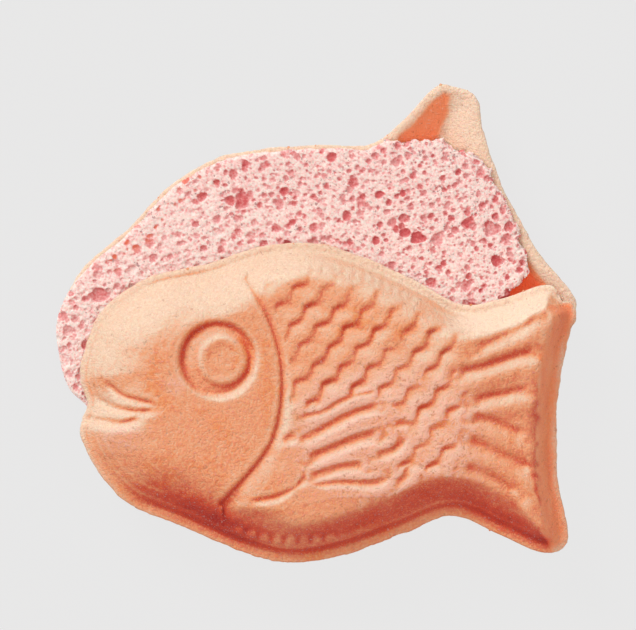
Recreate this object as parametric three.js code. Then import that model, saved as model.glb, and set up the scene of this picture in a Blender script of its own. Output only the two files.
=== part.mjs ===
// A taiyaki, opened: two crisp fish-shaped wafer shells and the aerated filling between them.
// The back shell lies with its relief down and holds the filling. The front shell lies on it,
// relief up, swivelled about the mouth, so that a crescent of filling shows along the fish's back.
// Millimetres, +Z up, fish heads towards -X, origin at the bottom centre of the whole.

import * as THREE from 'three';

// Driving dimensions
const openingAngle = 28.3;                  // turn of the back shell about the mouth, degrees
const mouthPivot = [-54.7, -1.6];           // the point that the shells turn about
const mouthSlip = [1.1, -1.5];              // how far the back shell also slid at the mouth
const shellDepth = 9.6;                     // rim plane to the flat of the body
const tailDepth = 7.6;                      // rim plane to the flat of the tail
const flangeWidth = 2.0;
const flangeThickness = 1.0;
const wallThickness = 2.0;
const fillingRise = 1.6;                    // filling above the back shell's rim plane
const breakLift = 1.6;                      // room under the filling's broken edge in the tail
const fillingInset = 0.5;                   // filling's edge inside the shell's edge
const touchGap = 0.35;                      // room between touching faces
const sideGap = 0.9;                        // the same along the faces, where facets are long
const pitDepth = 1.0;                       // deepest burst bubble in the cut filling
const edgeRounding = 0.3;                   // how far the filling's top edge is worn down
const raggedness = 0.06;                    // how far its broken edge wanders, as a share of a section
const restingFlat = 0.1;                    // relief shallower than this is worn flat under the back shell
const eye = {
  socket: [-25.1, 10.2],
  socketRadius: 8.2,
  pupil: [-23.6, 9.8],
  pupilRadius: 5.4,
  depth: 1.25,
};
const scales = {
  rowPitch: 4.87,
  scalePitch: 5.05,
  slant: 48,                                // degrees
  rowShift: 3.9,
  bulge: 1.3,
  depth: 0.9,
};

// The fish's outline, anticlockwise: back, forehead, mouth, chin, belly, tail
const outlinePoints = [
  [-2.9, 35.6], [-14.7, 35.0], [-27.3, 30.9], [-39.6, 28.2], [-49.8, 21.3], [-53.8, 13.1], [-55.2, 6.0],
  [-53.6, 0.4], [-54.7, -3.6], [-55.1, -7.3], [-52.0, -14.0], [-44.9, -22.0], [-32.9, -27.1],
  [-20.2, -32.7], [-8.9, -35.6], [3.1, -33.9], [16.0, -29.3], [27.6, -25.1], [37.8, -29.1],
  [47.1, -33.1], [52.2, -32.2], [53.3, -27.8], [51.1, -16.0], [51.0, -0.4], [52.9, 11.8],
  [55.3, 19.8], [52.4, 24.2], [48.2, 26.4], [38.7, 23.3], [29.8, 22.0], [21.6, 26.2], [8.9, 32.2],
];
const headRoot = [-36.0, -1.0];             // front end of the line that all sections meet on
const tailRoot = [40.5, -3.5];              // its back end

// Pressed lines: depth, half width, and the points of each line
const pressedLines = [
  {
    depth: 1.0,
    width: 0.9,
    points: [[-18, 27.6], [-12.9, 18.2], [-10.2, 7.8], [-10.9, -3.8], [-14.7, -12.2], [-23.6, -22.2]],
  },
  { depth: 0.6, width: 0.6, points: [[-51.6, 6.9], [-45.9, 1.8], [-38.5, 0.0]] },
  { depth: 0.8, width: 0.7, points: [[-51.6, 1.3], [-43.6, -1.6], [-37.9, -0.9]] },
  { depth: 0.8, width: 0.7, points: [[-53.6, -3.3], [-47.0, -4.2], [-39.6, -1.8]] },
  { depth: 0.8, width: 0.8, points: [[-6.9, -3.3], [4.7, 2.0], [12.9, 3.6]] },
  { depth: 0.8, width: 0.8, points: [[-7.1, -8.7], [-2.1, -5.8], [11.6, -0.2]] },
  { depth: 0.8, width: 0.8, points: [[-3.7, -11.9], [4.9, -8.9], [11.6, -7.1]] },
  { depth: 0.8, width: 0.8, points: [[9.9, -11.3], [12.7, -11.0], [16.6, -7.6]] },
  { depth: 0.8, width: 0.8, points: [[-4.5, -16.8], [3.1, -14.2], [8.8, -13.9]] },
  { depth: 0.8, width: 0.8, points: [[-4.2, -18.4], [5.3, -17.3], [13.0, -15.6]] },
  { depth: 0.7, width: 0.8, points: [[-5.7, -13.3], [-5.7, -16.4], [-9.6, -20.2], [-17.6, -21.4]] },
  { depth: 0.9, width: 0.9, points: [[32.7, 12.4], [44.1, 17.6]] },
  { depth: 0.9, width: 0.9, points: [[28.7, 6.4], [44.6, 11.1]] },
  { depth: 0.9, width: 0.9, points: [[31.3, 0.2], [44.1, 3.2]] },
  { depth: 0.9, width: 0.9, points: [[31.8, -2.9], [35.8, -3.8], [43.2, -6.9]] },
  { depth: 0.9, width: 0.9, points: [[31.3, -8.0], [44.6, -14.4]] },
  { depth: 0.7, width: 0.9, points: [[30.4, -13.9], [38.0, -17.3]] },
];

// The filling's broken edge in the tail: it lies on the inner side of these three lines,
// each a unit normal and a distance from the fish's centre
const fillingBreaks = [
  { normal: [1, 0], distance: 49.0 },
  { normal: [0.439, 0.898], distance: 32.4 },
  { normal: [0.38, -0.925], distance: 35.2 },
];

// How finely the solids are faceted. The filling and the inside of the shells use every
// second or fourth section, so each count is a multiple of four.
const sideSections = 48;
const headSections = 36;
const tailSections = 40;

const mix = (a, b, t) => a + (b - a) * t;
const ease = THREE.MathUtils.smoothstep;

// A smooth line through points, as a list of [x, y]
function curveThrough(points, closed, steps) {
  const places = points.map(([x, y]) => new THREE.Vector3(x, y, 0));
  const curve = new THREE.CatmullRomCurve3(places, closed, 'catmullrom', 0.5);
  return curve.getPoints(steps).map((p) => [p.x, p.y]);
}

function distanceToLine(line, x, y) {
  let least = Infinity;
  for (let i = 1; i < line.length; i++) {
    const [ax, ay] = line[i - 1];
    const [dx, dy] = [line[i][0] - ax, line[i][1] - ay];
    const along = ((x - ax) * dx + (y - ay) * dy) / (dx * dx + dy * dy);
    const t = Math.min(1, Math.max(0, along));
    least = Math.min(least, Math.hypot(x - ax - t * dx, y - ay - t * dy));
  }
  return least;
}

const outline = curveThrough(outlinePoints, true, outlinePoints.length * 8);
const lines = pressedLines.map((line) => ({ ...line, path: curveThrough(line.points, false, 12) }));
const gillPath = lines[0].path;

// Distance inwards from the shell's edge
const shellInset = (x, y) => distanceToLine(outline, x, y);

// Distance inwards from the filling's edge, negative outside it
function fillingInsetAt(x, y) {
  const breaks = fillingBreaks.map(({ normal, distance }) => distance - normal[0] * x - normal[1] * y);
  return Math.min(shellInset(x, y) - fillingInset, ...breaks);
}

// Where a line across the fish at x meets the outline: side 1 is the back, -1 the belly
function edgeAt(x, side) {
  let best = -Infinity;
  for (let i = 1; i < outline.length; i++) {
    const [a, b] = [outline[i - 1], outline[i]];
    if ((a[0] - x) * (b[0] - x) > 0 || a[0] === b[0]) continue;
    best = Math.max(best, side * mix(a[1], b[1], (x - a[0]) / (b[0] - a[0])));
  }
  return [x, side * best];
}

// Points at equal steps along a polyline, without its last point
function evenSteps(line, count) {
  const lengths = [0];
  for (let i = 1; i < line.length; i++) {
    lengths.push(lengths[i - 1] + Math.hypot(line[i][0] - line[i - 1][0], line[i][1] - line[i - 1][1]));
  }
  const places = [];
  for (let k = 0, i = 1; k < count; k++) {
    const target = (lengths.at(-1) * k) / count;
    while (lengths[i] < target) i++;
    const t = (target - lengths[i - 1]) / (lengths[i] - lengths[i - 1]);
    places.push([mix(line[i - 1][0], line[i][0], t), mix(line[i - 1][1], line[i][1], t)]);
  }
  return places;
}

// Sections run from the edge to the root line between headRoot and tailRoot, anticlockwise
// from the belly below headRoot. Round the head and the tail they fan out from one root.
function makeSections() {
  const rootAt = (k) => headRoot.map((start, axis) => mix(start, tailRoot[axis], k / sideSections));
  const tailEdge = outline.filter(([x]) => x > tailRoot[0]);
  const headEdge = outline.filter(([x]) => x < headRoot[0]);
  const tailLine = [edgeAt(tailRoot[0], -1), ...tailEdge, edgeAt(tailRoot[0], 1)];
  const headLine = [edgeAt(headRoot[0], 1), ...headEdge, edgeAt(headRoot[0], -1)];
  const sections = [];
  for (let k = 0; k < sideSections; k++) sections.push({ root: rootAt(k), edge: edgeAt(rootAt(k)[0], -1) });
  for (const edge of evenSteps(tailLine, tailSections)) sections.push({ root: rootAt(sideSections), edge });
  for (let k = sideSections; k > 0; k--) sections.push({ root: rootAt(k), edge: edgeAt(rootAt(k)[0], 1) });
  for (const edge of evenSteps(headLine, headSections)) sections.push({ root: rootAt(0), edge });
  return sections;
}
const sections = makeSections();

const placeOn = ({ edge, root }, share) => [mix(edge[0], root[0], share), mix(edge[1], root[1], share)];

// Share of the way from edge to root at which a section first lies at this inset
function shareAtInset(section, inset, insetAt) {
  let [low, high] = [0, 0];
  while (high < 1 && insetAt(...placeOn(section, high)) < inset) high += 0.02;
  low = Math.max(0, high - 0.02);
  for (let k = 0; k < 24; k++) {
    const middle = (low + high) / 2;
    if (insetAt(...placeOn(section, middle)) < inset) low = middle;
    else high = middle;
  }
  return Math.min(1, high);
}

// Width and roundness of the slope between flange and crown: wide and round on the head
const slopeWidth = (x) => mix(mix(13, 6.8, ease(x, -30, -4)), 3.6, ease(x, 38, 47));
const slopeRoundness = (x) => mix(2.1, 1.5, ease(x, -30, -4));
const crownDepth = (x) => mix(shellDepth, tailDepth, ease(x, 24, 44));

// Share of the rise from flange to crown, from 0 at the flange to 1 on the crown
function slopeShare(inset, x) {
  const across = Math.min(1, Math.max(0, inset / slopeWidth(x)));
  return 1 - (1 - across) ** slopeRoundness(x);
}

// Depth pressed by the scales: rows of scallops that bulge towards the tail, each scale
// highest in its middle and lowest along its scalloped edge
function scalesDepth(x, y) {
  const slant = THREE.MathUtils.degToRad(scales.slant);
  const along = x * Math.cos(slant) + y * Math.sin(slant);
  const across = x * Math.sin(slant) - y * Math.cos(slant) + 22.6;
  const edgeOfRow = (row) => {
    const place = (along - row * scales.rowShift) / scales.scalePitch;
    const t = 2 * (place - Math.floor(place)) - 1;
    return row * scales.rowPitch + scales.bulge * (1 - t * t);
  };
  let row = Math.floor(across / scales.rowPitch) - 1;
  while (edgeOfRow(row) < across) row++;
  const t = (across - edgeOfRow(row - 1)) / (edgeOfRow(row) - edgeOfRow(row - 1));
  return scales.depth * (0.5 + 0.5 * Math.cos(2 * Math.PI * t));
}

// Where the scales lie: behind the gill line, on the crown, above and behind the side fin
function scalesShare(x, y, inset) {
  const behindGill = x > -12 ? ease(distanceToLine(gillPath, x, y), 1.2, 2.4) : 0;
  const onCrown = ease(inset, slopeWidth(x), slopeWidth(x) + 1.5);
  const beforeTail = 1 - ease(x - 0.12 * y, 29, 31);
  const [u, v] = [(x - 3.5) * 0.94 + (y + 9.5) * 0.34, (y + 9.5) * 0.94 - (x - 3.5) * 0.34];
  const offFin = ease(Math.hypot(u / 14.5, v / 9.5), 0.95, 1.12);
  return behindGill * onCrown * beforeTail * offFin * (x > -14 ? 1 : 0);
}

// Everything pressed into the crown, as a depth
function reliefDepth(x, y, inset) {
  const toSocket = Math.hypot(x - eye.socket[0], y - eye.socket[1]);
  const toPupil = Math.hypot(x - eye.pupil[0], y - eye.pupil[1]);
  const inSocket = 1 - ease(toSocket, eye.socketRadius - 1.2, eye.socketRadius + 0.4);
  const onPupil = 1 - ease(toPupil, eye.pupilRadius - 0.4, eye.pupilRadius + 1.0);
  let pressed = eye.depth * inSocket * (1 - 0.85 * onPupil);
  for (const { depth, width, path } of lines) {
    pressed = Math.max(pressed, depth * Math.exp(-((distanceToLine(path, x, y) / width) ** 2)));
  }
  pressed = Math.max(pressed, scalesDepth(x, y) * scalesShare(x, y, inset));
  return pressed * ease(inset, flangeWidth, flangeWidth + 1.5);
}

// Heights of the shell's two faces over its rim plane
function outerHeight(x, y) {
  const inset = shellInset(x, y);
  const rise = (crownDepth(x) - flangeThickness) * slopeShare(inset - flangeWidth, x);
  return flangeThickness + rise - reliefDepth(x, y, inset);
}

// The back shell lies on its crown, which is worn flat there
function lyingHeight(x, y) {
  const height = outerHeight(x, y);
  return height > shellDepth - restingFlat ? shellDepth : height;
}

const hollowInset = flangeWidth + 0.3;
const hollowHeight = (x, y) =>
  (crownDepth(x) - wallThickness) * slopeShare(shellInset(x, y) - hollowInset, x);

// A ring of points, one on every section kept, at one inset and a height from its place
function ringAt(kept, shares, height) {
  return kept.map((section, i) => {
    const [x, y] = placeOn(section, shares[i]);
    return [x, y, height(x, y)];
  });
}
const every = (step) => sections.filter((_, i) => i % step === 0);
const sharesAt = (kept, inset, insetAt) => kept.map((section) => shareAtInset(section, inset, insetAt));
const sharesBetween = (from, t) => from.map((share) => mix(share, 1, t));

// One closed solid from rings that start on the root line above, run out over the edge, and
// end on the root line below. Neighbouring rings have equal counts or one has a multiple.
function solidFromRings(rings) {
  const places = [];
  const known = new Map();
  const indexOf = (point) => {
    const key = point.map((value) => Math.round(value * 1e4)).join();
    if (!known.has(key)) {
      known.set(key, known.size);
      places.push(...point);
    }
    return known.get(key);
  };
  const corners = [];
  const addFace = (a, b, c) => {
    if (a !== b && b !== c && c !== a) corners.push(a, b, c);
  };
  const indexed = rings.map((ring) => ring.map(indexOf));
  for (let r = 1; r < indexed.length; r++) {
    const [inner, outer] = [indexed[r - 1], indexed[r]];
    const count = Math.max(inner.length, outer.length);
    const at = (ring, i) => ring[Math.round((i * ring.length) / count) % ring.length];
    for (let i = 0; i < count; i++) {
      addFace(at(inner, i), at(outer, i), at(outer, i + 1));
      addFace(at(inner, i), at(outer, i + 1), at(inner, i + 1));
    }
  }
  const geometry = new THREE.BufferGeometry();
  geometry.setAttribute('position', new THREE.Float32BufferAttribute(places, 3));
  geometry.setIndex(corners);
  geometry.computeVertexNormals();
  return geometry;
}

// The rings of a shell's relief face from its root line out to the flange's outer edge
function outerRings(step, crownRings, slopeInsets, height) {
  const kept = every(step);
  const crest = sharesAt(kept, slopeInsets[0], shellInset);
  const rings = [];
  for (let k = crownRings; k > 0; k--) {
    rings.push(ringAt(kept, sharesBetween(crest, k / crownRings), height));
  }
  for (const inset of slopeInsets) rings.push(ringAt(kept, sharesAt(kept, inset, shellInset), height));
  rings.push(ringAt(kept, sharesAt(kept, 0.35, shellInset), () => flangeThickness));
  rings.push(ringAt(kept, sharesAt(kept, 0, shellInset), () => flangeThickness / 2));
  rings.push(ringAt(kept, sharesAt(kept, 0.3, shellInset), () => 0));
  return rings;
}

// The shares along the sections where the hollow face has its vertices, from the rim in to the
// root line, and the shares of the same vertices on a filling that keeps the touch gap to it
const hollowInsets = [0, 1.2, 2.7];
const hollowCrownSteps = [0.08, 0.18, 0.32, 0.5, 0.75, 1];
function hollowLevels(kept) {
  const levels = hollowInsets.map((inset) => ({
    wall: sharesAt(kept, hollowInset + inset, shellInset),
    filling: sharesAt(kept, hollowInset + inset + sideGap, shellInset),
  }));
  const last = levels.at(-1);
  for (const t of hollowCrownSteps) {
    levels.push({ wall: sharesBetween(last.wall, t), filling: sharesBetween(last.filling, t) });
  }
  return levels;
}
const hollowSections = every(4);
const hollow = hollowLevels(hollowSections);
const hollowRings = hollow.map(({ wall }) => ringAt(hollowSections, wall, hollowHeight));

// A filling's vertex faces the wall's vertex across the gap. Where the filling breaks off inside
// the hollow, its edge stays further off the wall's facets.
function fillingRing({ wall, filling }, edgeShares) {
  return hollowSections.map((section, i) => {
    const brokenEdge = edgeShares[i] > hollow[0].filling[i] && edgeShares[i] >= filling[i];
    const [x, y] = placeOn(section, Math.max(filling[i], edgeShares[i]));
    const wallPlace = placeOn(section, brokenEdge ? edgeShares[i] : wall[i]);
    return [x, y, hollowHeight(...wallPlace) - (brokenEdge ? breakLift : touchGap)];
  });
}

const frontOuterInsets = [5.2, 3.6, flangeWidth];
const backOuterInsets = [4.6, flangeWidth];
const flip = (rings) => rings.map((ring) => ring.map(([x, y, z]) => [x, y, -z])).reverse();

const frontOuter = outerRings(1, 14, frontOuterInsets, outerHeight);
const backOuter = outerRings(2, 10, backOuterInsets, lyingHeight);
const frontShellGeometry = solidFromRings([...frontOuter, ...hollowRings]);
const backShellGeometry = solidFromRings(flip([...backOuter, ...hollowRings]));

// The front filling fills the front shell's hollow and is level with its rim plane
function makeFrontFilling() {
  const uncut = hollowSections.map(() => 0);
  const upper = hollow.map((level) => fillingRing(level, uncut)).reverse();
  const flat = () => -touchGap;
  const under = [0.5, 1].map((t) => ringAt(hollowSections, sharesBetween(hollow[0].filling, t), flat));
  return solidFromRings([...upper, ...under]);
}

// Uneven depth of the burst bubbles over the cut face, as a share of the deepest
function bubbleShare(x, y) {
  const across = Math.sin(1.31 * x + 0.42 * y) * Math.sin(1.12 * y - 0.37 * x + 1.7);
  return Math.max(0, across * Math.sin(0.71 * (x + y))) ** 0.6;
}

// The back filling fills the back shell's hollow, spreads over its rim, stands a little above
// it, and ends at a broken edge in the tail. Burst bubbles pit its cut face.
function makeBackFilling() {
  const kept = every(2);
  const edge = sharesAt(kept, 0, fillingInsetAt);
  const topShares = edge.map((share, i) => {
    const place = placeOn(kept[i], share);
    return share + (shellInset(...place) > 1 ? raggedness * bubbleShare(...place) : 0);
  });
  const rings = [];
  const topRings = 9;
  for (let k = topRings; k >= 0; k--) {
    const cutFace = (x, y) => fillingRise - pitDepth * bubbleShare(x, y);
    const edgeFace = () => fillingRise - edgeRounding;
    rings.push(ringAt(kept, sharesBetween(topShares, k / topRings), k > 0 ? cutFace : edgeFace));
  }
  const underEdge = sharesAt(hollowSections, 0, fillingInsetAt);
  const rim = { wall: underEdge.map(() => 0), filling: underEdge };
  const under = [rim, ...hollow].map((level) => fillingRing(level, underEdge));
  for (const ring of under) rings.push(ring.map(([x, y, z]) => [x, y, -z]));
  return solidFromRings(rings);
}

const finish = (color, roughness) => new THREE.MeshStandardMaterial({ color, roughness, metalness: 0 });
const waferMaterial = () => finish('#eba678', 0.8);
const fillingMaterial = () => finish('#f2c3bf', 0.75);

function piece(name, geometry, material, height) {
  const mesh = new THREE.Mesh(geometry, material);
  mesh.name = name;
  mesh.position.z = height;
  return mesh;
}

// The back half turns about the mouth; the front half lies on its filling
const backRim = shellDepth;
const frontRim = backRim + fillingRise + 2 * touchGap;
const backHalf = new THREE.Group();
backHalf.add(
  piece('back_shell', backShellGeometry, waferMaterial(), backRim),
  piece('back_filling', makeBackFilling(), fillingMaterial(), backRim),
);
const turn = THREE.MathUtils.degToRad(openingAngle);
backHalf.rotation.z = turn;
backHalf.position.set(
  mouthPivot[0] + mouthSlip[0] - mouthPivot[0] * Math.cos(turn) + mouthPivot[1] * Math.sin(turn),
  mouthPivot[1] + mouthSlip[1] - mouthPivot[0] * Math.sin(turn) - mouthPivot[1] * Math.cos(turn),
  0,
);
const frontHalf = new THREE.Group();
frontHalf.add(
  piece('front_shell', frontShellGeometry, waferMaterial(), frontRim),
  piece('front_filling', makeFrontFilling(), fillingMaterial(), frontRim),
);

const taiyaki = new THREE.Group();
taiyaki.add(backHalf, frontHalf);
taiyaki.updateMatrixWorld(true);
const centre = new THREE.Box3().setFromObject(taiyaki, true).getCenter(new THREE.Vector3());
taiyaki.position.set(-centre.x, -centre.y, 0);

export default taiyaki;
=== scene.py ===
"""An opened taiyaki: two crisp fish-shaped wafer shells and the aerated filling between them.

The shapes are worked out in millimetres in the fish's own frame (head towards -X, back towards +Y,
rim plane at height 0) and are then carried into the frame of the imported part, in metres.
"""

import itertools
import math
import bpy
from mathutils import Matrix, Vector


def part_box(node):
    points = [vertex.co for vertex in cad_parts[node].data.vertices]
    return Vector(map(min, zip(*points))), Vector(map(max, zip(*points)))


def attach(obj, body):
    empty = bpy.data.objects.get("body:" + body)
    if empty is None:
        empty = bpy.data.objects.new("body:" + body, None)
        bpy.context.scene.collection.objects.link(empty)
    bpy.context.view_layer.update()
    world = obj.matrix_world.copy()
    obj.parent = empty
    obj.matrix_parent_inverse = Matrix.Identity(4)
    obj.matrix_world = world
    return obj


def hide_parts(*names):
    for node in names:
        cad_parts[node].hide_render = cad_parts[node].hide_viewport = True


bl_info = {
    "name": "Opened Taiyaki",
    "version": (1, 0, 0),
    "blender": (4, 5, 0),
    "location": "View3D > Sidebar > Taiyaki",
    "description": "Builds an opened, fish-shaped wafer with an aerated filling",
    "category": "Add Mesh",
}

import bmesh
import bpy
import numpy as np
from mathutils import Vector

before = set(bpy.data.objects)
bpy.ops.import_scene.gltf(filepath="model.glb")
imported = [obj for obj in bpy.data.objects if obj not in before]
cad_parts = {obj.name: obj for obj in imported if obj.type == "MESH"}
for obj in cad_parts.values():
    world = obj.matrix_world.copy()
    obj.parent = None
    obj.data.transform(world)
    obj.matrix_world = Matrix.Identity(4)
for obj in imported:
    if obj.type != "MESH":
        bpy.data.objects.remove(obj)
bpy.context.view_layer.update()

MM = 0.001

# The fish's outline, anticlockwise: back, forehead, mouth, chin, belly, tail
OUTLINE_POINTS = [
    (-2.9, 35.6), (-14.7, 35.0), (-27.3, 30.9), (-39.6, 28.2), (-49.8, 21.3), (-53.8, 13.1),
    (-55.2, 6.0), (-53.6, 0.4), (-54.7, -3.6), (-55.1, -7.3), (-52.0, -14.0), (-44.9, -22.0),
    (-32.9, -27.1), (-20.2, -32.7), (-8.9, -35.6), (3.1, -33.9), (16.0, -29.3), (27.6, -25.1),
    (37.8, -29.1), (47.1, -33.1), (52.2, -32.2), (53.3, -27.8), (51.1, -16.0), (51.0, -0.4),
    (52.9, 11.8), (55.3, 19.8), (52.4, 24.2), (48.2, 26.4), (38.7, 23.3), (29.8, 22.0),
    (21.6, 26.2), (8.9, 32.2),
]
HEAD_ROOT = np.array([-36.0, -1.0])     # front end of the line that all sections meet on
TAIL_ROOT = np.array([40.5, -3.5])      # its back end

GILL_POINTS = [
    (-18, 27.6), (-12.9, 18.2), (-10.2, 7.8), (-10.9, -3.8), (-14.7, -12.2), (-23.6, -22.2),
]

# Pressed lines: depth, half width, and the points of each line
PRESSED_LINES = [
    (0.85, 0.6, GILL_POINTS),
    (0.6, 0.5, [
        (-50.0, 5.2), (-48.7, 4.2), (-45.8, 1.9), (-43.3, 1.0), (-40.1, 0.2), (-37.6, -0.6),
    ]),
    (0.7, 0.55, [
        (-52.4, 2.4), (-50.9, 1.0), (-48.7, -0.3), (-46.5, -1.1), (-43.3, -1.7), (-40.1, -1.7),
        (-37.9, -1.1),
    ]),
    (0.75, 0.55, [
        (-57.5, -2.9), (-53.5, -3.4), (-49.6, -3.9), (-46.2, -4.4), (-43.3, -3.8), (-41.1, -2.5),
    ]),
    (0.4, 0.5, [(-7.2, -3.3), (-1.1, -1.7), (3.3, 0.7), (7.1, 2.2), (11.6, 2.7)]),
    (0.75, 0.9, [(-7.2, -8.9), (-2.7, -6.6), (2.0, -4.1), (5.8, -2.2), (11.6, -0.6)]),
    (0.85, 1.05, [(-5.0, -12.4), (-0.2, -10.4), (4.6, -8.5), (8.4, -7.3), (11.2, -7.0)]),
    (0.7, 0.8, [(9.6, -11.4), (12.8, -10.8), (15.4, -9.5), (16.5, -7.0)]),
    (0.7, 0.9, [(-5.0, -16.5), (-1.1, -15.2), (3.6, -13.9), (8.7, -13.9)]),
    (0.65, 0.75, [(-4.3, -18.5), (2.0, -17.6), (7.1, -17.6), (10.9, -17.3), (12.7, -15.8)]),
    (0.55, 0.65, [(-5.6, -13.9), (-5.6, -16.8), (-8.1, -19.3), (-12.0, -21.0), (-17.6, -21.6)]),
    (0.8, 0.9, [(-10.9, -6.6), (-9.0, -7.6), (-6.6, -6.7)]),
    (0.45, 0.7, [(14.0, -4.0), (17.0, -4.5), (20.4, -4.4)]),
    (0.45, 0.7, [(13.8, -17.8), (16.9, -16.4), (17.8, -14.0), (20.4, -12.7)]),
    (0.7, 1.0, [(32.0, 11.8), (42.7, 16.7), (47.1, 20.0)]),
    (0.85, 1.0, [(28.0, 6.6), (34.2, 8.1), (39.7, 9.9), (46.5, 11.6)]),
    (0.8, 1.0, [(31.3, 0.4), (37.8, 1.8), (45.2, 3.4)]),
    (0.75, 1.0, [(30.8, -2.6), (35.8, -3.8), (44.2, -7.3)]),
    (0.75, 1.0, [(30.3, -7.5), (37.0, -10.8), (45.6, -14.9)]),
    (0.55, 1.0, [(29.4, -13.4), (38.0, -17.3), (42.0, -20.5)]),
]
BELLY_RIDGE = [(-19.6, -22.7), (-11.1, -22.4), (-6.9, -19.6), (-2.6, -19.1), (6.0, -18.7)]

EYE_SOCKET, EYE_SOCKET_RADIUS = (-24.4, 9.7), 9.1
EYE_PUPIL, EYE_PUPIL_RADIUS = (-23.3, 9.6), 5.8
EYE_DIMPLE = (-21.3, 11.8)
FIN_CENTRE, FIN_ALONG, FIN_HALF_SIZES = (3.5, -9.5), (0.94, 0.34), (14.5, 9.5)
SCALES_SLANT, SCALES_START = math.radians(48), (3.1, -22.6)     # along the rows and across them
SCALES_LOWER_EDGE = ((-12, -3, 3, 14, 30), (-1.0, -1.0, -14.0, -14.0, -16.4))    # x, y

# Rows of beads: height, radius, how many, and the points of the row
BEAD_ROWS = [
    (0.26, 1.1, 8, [(-19.8, -28.3), (-10.5, -30.3), (3.5, -29.9)]),
    (0.24, 1.0, 14, [(-9.1, 31.6), (9.8, 27.5), (21.6, 21.6)]),
]

# Pale spots left by the iron, partly painted sheen: centre, half widths along X and Y, and
# strength
BLOOM_AND_SHEEN_SPOTS = [
    (13.0, -7.0, 27.0, 20.0, 1.0), (-33.8, 3.9, 2.6, 2.8, 0.8), (-45.3, -7.6, 7.0, 3.8, 0.6),
]

# How the tint of the baking and the painted light and shade colours the wafer: the most and the
# least, and how far a place has to look at the main light to be fully pale with painted light, and
# away from it to be fully dark with painted shade
BAKE_AND_SHADING_MOST, BAKE_AND_SHADING_LEAST = 1.6, -1.65
PALE_FACING, DARK_FACING = 0.29, 0.9

# Where the front shell's flange broke: place, how deep and how wide the bite
FRONT_CHIPS = [
    (53.3, 24.4, 2.3, 1.5), (51.3, 26.9, 0.9, 0.9), (55.0, 16.6, 0.5, 1.4), (50.2, 4.0, 0.3, 1.0),
]

# The filling's broken edge in the tail: unit normals and distances from the fish's centre
FILLING_BREAKS = [
    ((1.0, 0.0), 50.0), ((0.439, 0.898), 33.2), ((0.38, -0.925), 36.0), ((0.819, 0.574), 44.9),
    ((0.935, -0.355), 50.4),
]

# Edges of the tail that its hollow falls away from, carried on past the tail's upper corner
HOLLOW_EDGES = [
    [(13.0, 30.5), (21.6, 26.2), (29.8, 22.0), (38.7, 23.3), (48.2, 26.4), (60.0, 30.3)],
    [
        (58.5, 30.0), (55.3, 19.8), (52.9, 11.8), (51.0, -0.4), (51.1, -16.0), (53.3, -27.8),
        (55.0, -40.0),
    ],
    [(16.0, -29.3), (27.6, -25.1), (37.8, -29.1), (47.1, -33.1), (58.0, -38.0)],
]
HOLLOW_STEP = 0.3       # the hollow starts this far inside the flange

# Bubbles by size class: cell of the jittered grid, least and greatest radius, share of the cells
# that hold one, how much redder than the others, how uneven their outline, seed
BUBBLE_CLASSES = [
    (6.4, 1.15, 1.9, 0.36, -0.1, 0.9, 101),
    (3.3, 0.75, 1.3, 0.74, 0.0, 0.5, 202),
    (2.0, 0.45, 0.85, 0.90, -0.05, 0.4, 303),
    (1.05, 0.22, 0.42, 0.85, 0.0, 0.3, 404),
]
CUT_FACE_FLOOR = 0.25   # least height of the cut face over the gap to the wafer
CUT_FACE_LID = 1.9      # its greatest height over the rim plane, just under the front filling

# Rings of a filling's hidden side, as shares of the way from its edge to the root line
DEEP_STEPS = np.array([0.03, 0.07, 0.12, 0.18, 0.25, 0.34, 0.46, 0.6, 0.78])
HIDDEN_PITCH = 1.6      # how far apart the vertices of those rings stand
GROUP = 8               # sections are thinned out together, in groups of this many
SPREAD = 1.5            # and stay about this many pitches apart

# Crumbs: how many, least and greatest radius
RIM_CRUMBS, FOAM_CRUMBS = (22, 0.14, 0.42), (160, 0.10, 0.28)

# The studio: its main light, its sky, its floor and its camera
LIGHT_FROM = np.array([-0.50, 0.72, 0.55])      # towards the light
LIGHT_STRENGTH, LIGHT_SPREAD = 1.62, math.radians(25.0)
SKY_LEVEL, SKY_OVERHEAD, SKY_COLOUR = 0.45, 0.90, (1.0, 0.87, 0.83, 1.0)
FLOOR_HALF = 1500.0             # half the side of the floor
FLOOR_GLOW, FLOOR_GLOW_SHARE, FLOOR_MATT = 1.015, 0.94, (0.6, 0.6, 0.6, 1.0)
CAMERA_DISTANCE, SENSOR_WIDTH = 2.5, 36.0
VIEW_WIDTH = 636 / 4.5 * MM     # at the front rim plane: 636 pixels, 4.5 to the millimetre
VIEW_CENTRE = (0.36 * MM, 2.18 * MM)


# ---------------------------------------------------------------- small numerical helpers

def mix(a, b, t):
    """From a at t = 0 straight to b at t = 1."""
    return a + (b - a) * t


def ease(value, low, high):
    """Smooth step: 0 below low, 1 above high, 3t^2 - 2t^3 between."""
    t = np.clip((value - low) / (high - low), 0.0, 1.0)
    return t * t * (3.0 - 2.0 * t)


def fade(value, low, high):
    """Smooth step down: 1 below low, 0 above high."""
    return 1 - ease(value, low, high)


def hump(value, centre, width):
    """Bell curve: exp(-((value - centre) / width)^2)."""
    return np.exp(-(((value - centre) / width) ** 2))


def turned(xy, angle):
    """Places turned anticlockwise about the origin."""
    cos, sin = math.cos(angle), math.sin(angle)
    return xy @ np.array([[cos, sin], [-sin, cos]])


def distance_from(centre, xy):
    """Distance of each place from one."""
    return np.hypot(*(xy - centre).T)


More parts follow.
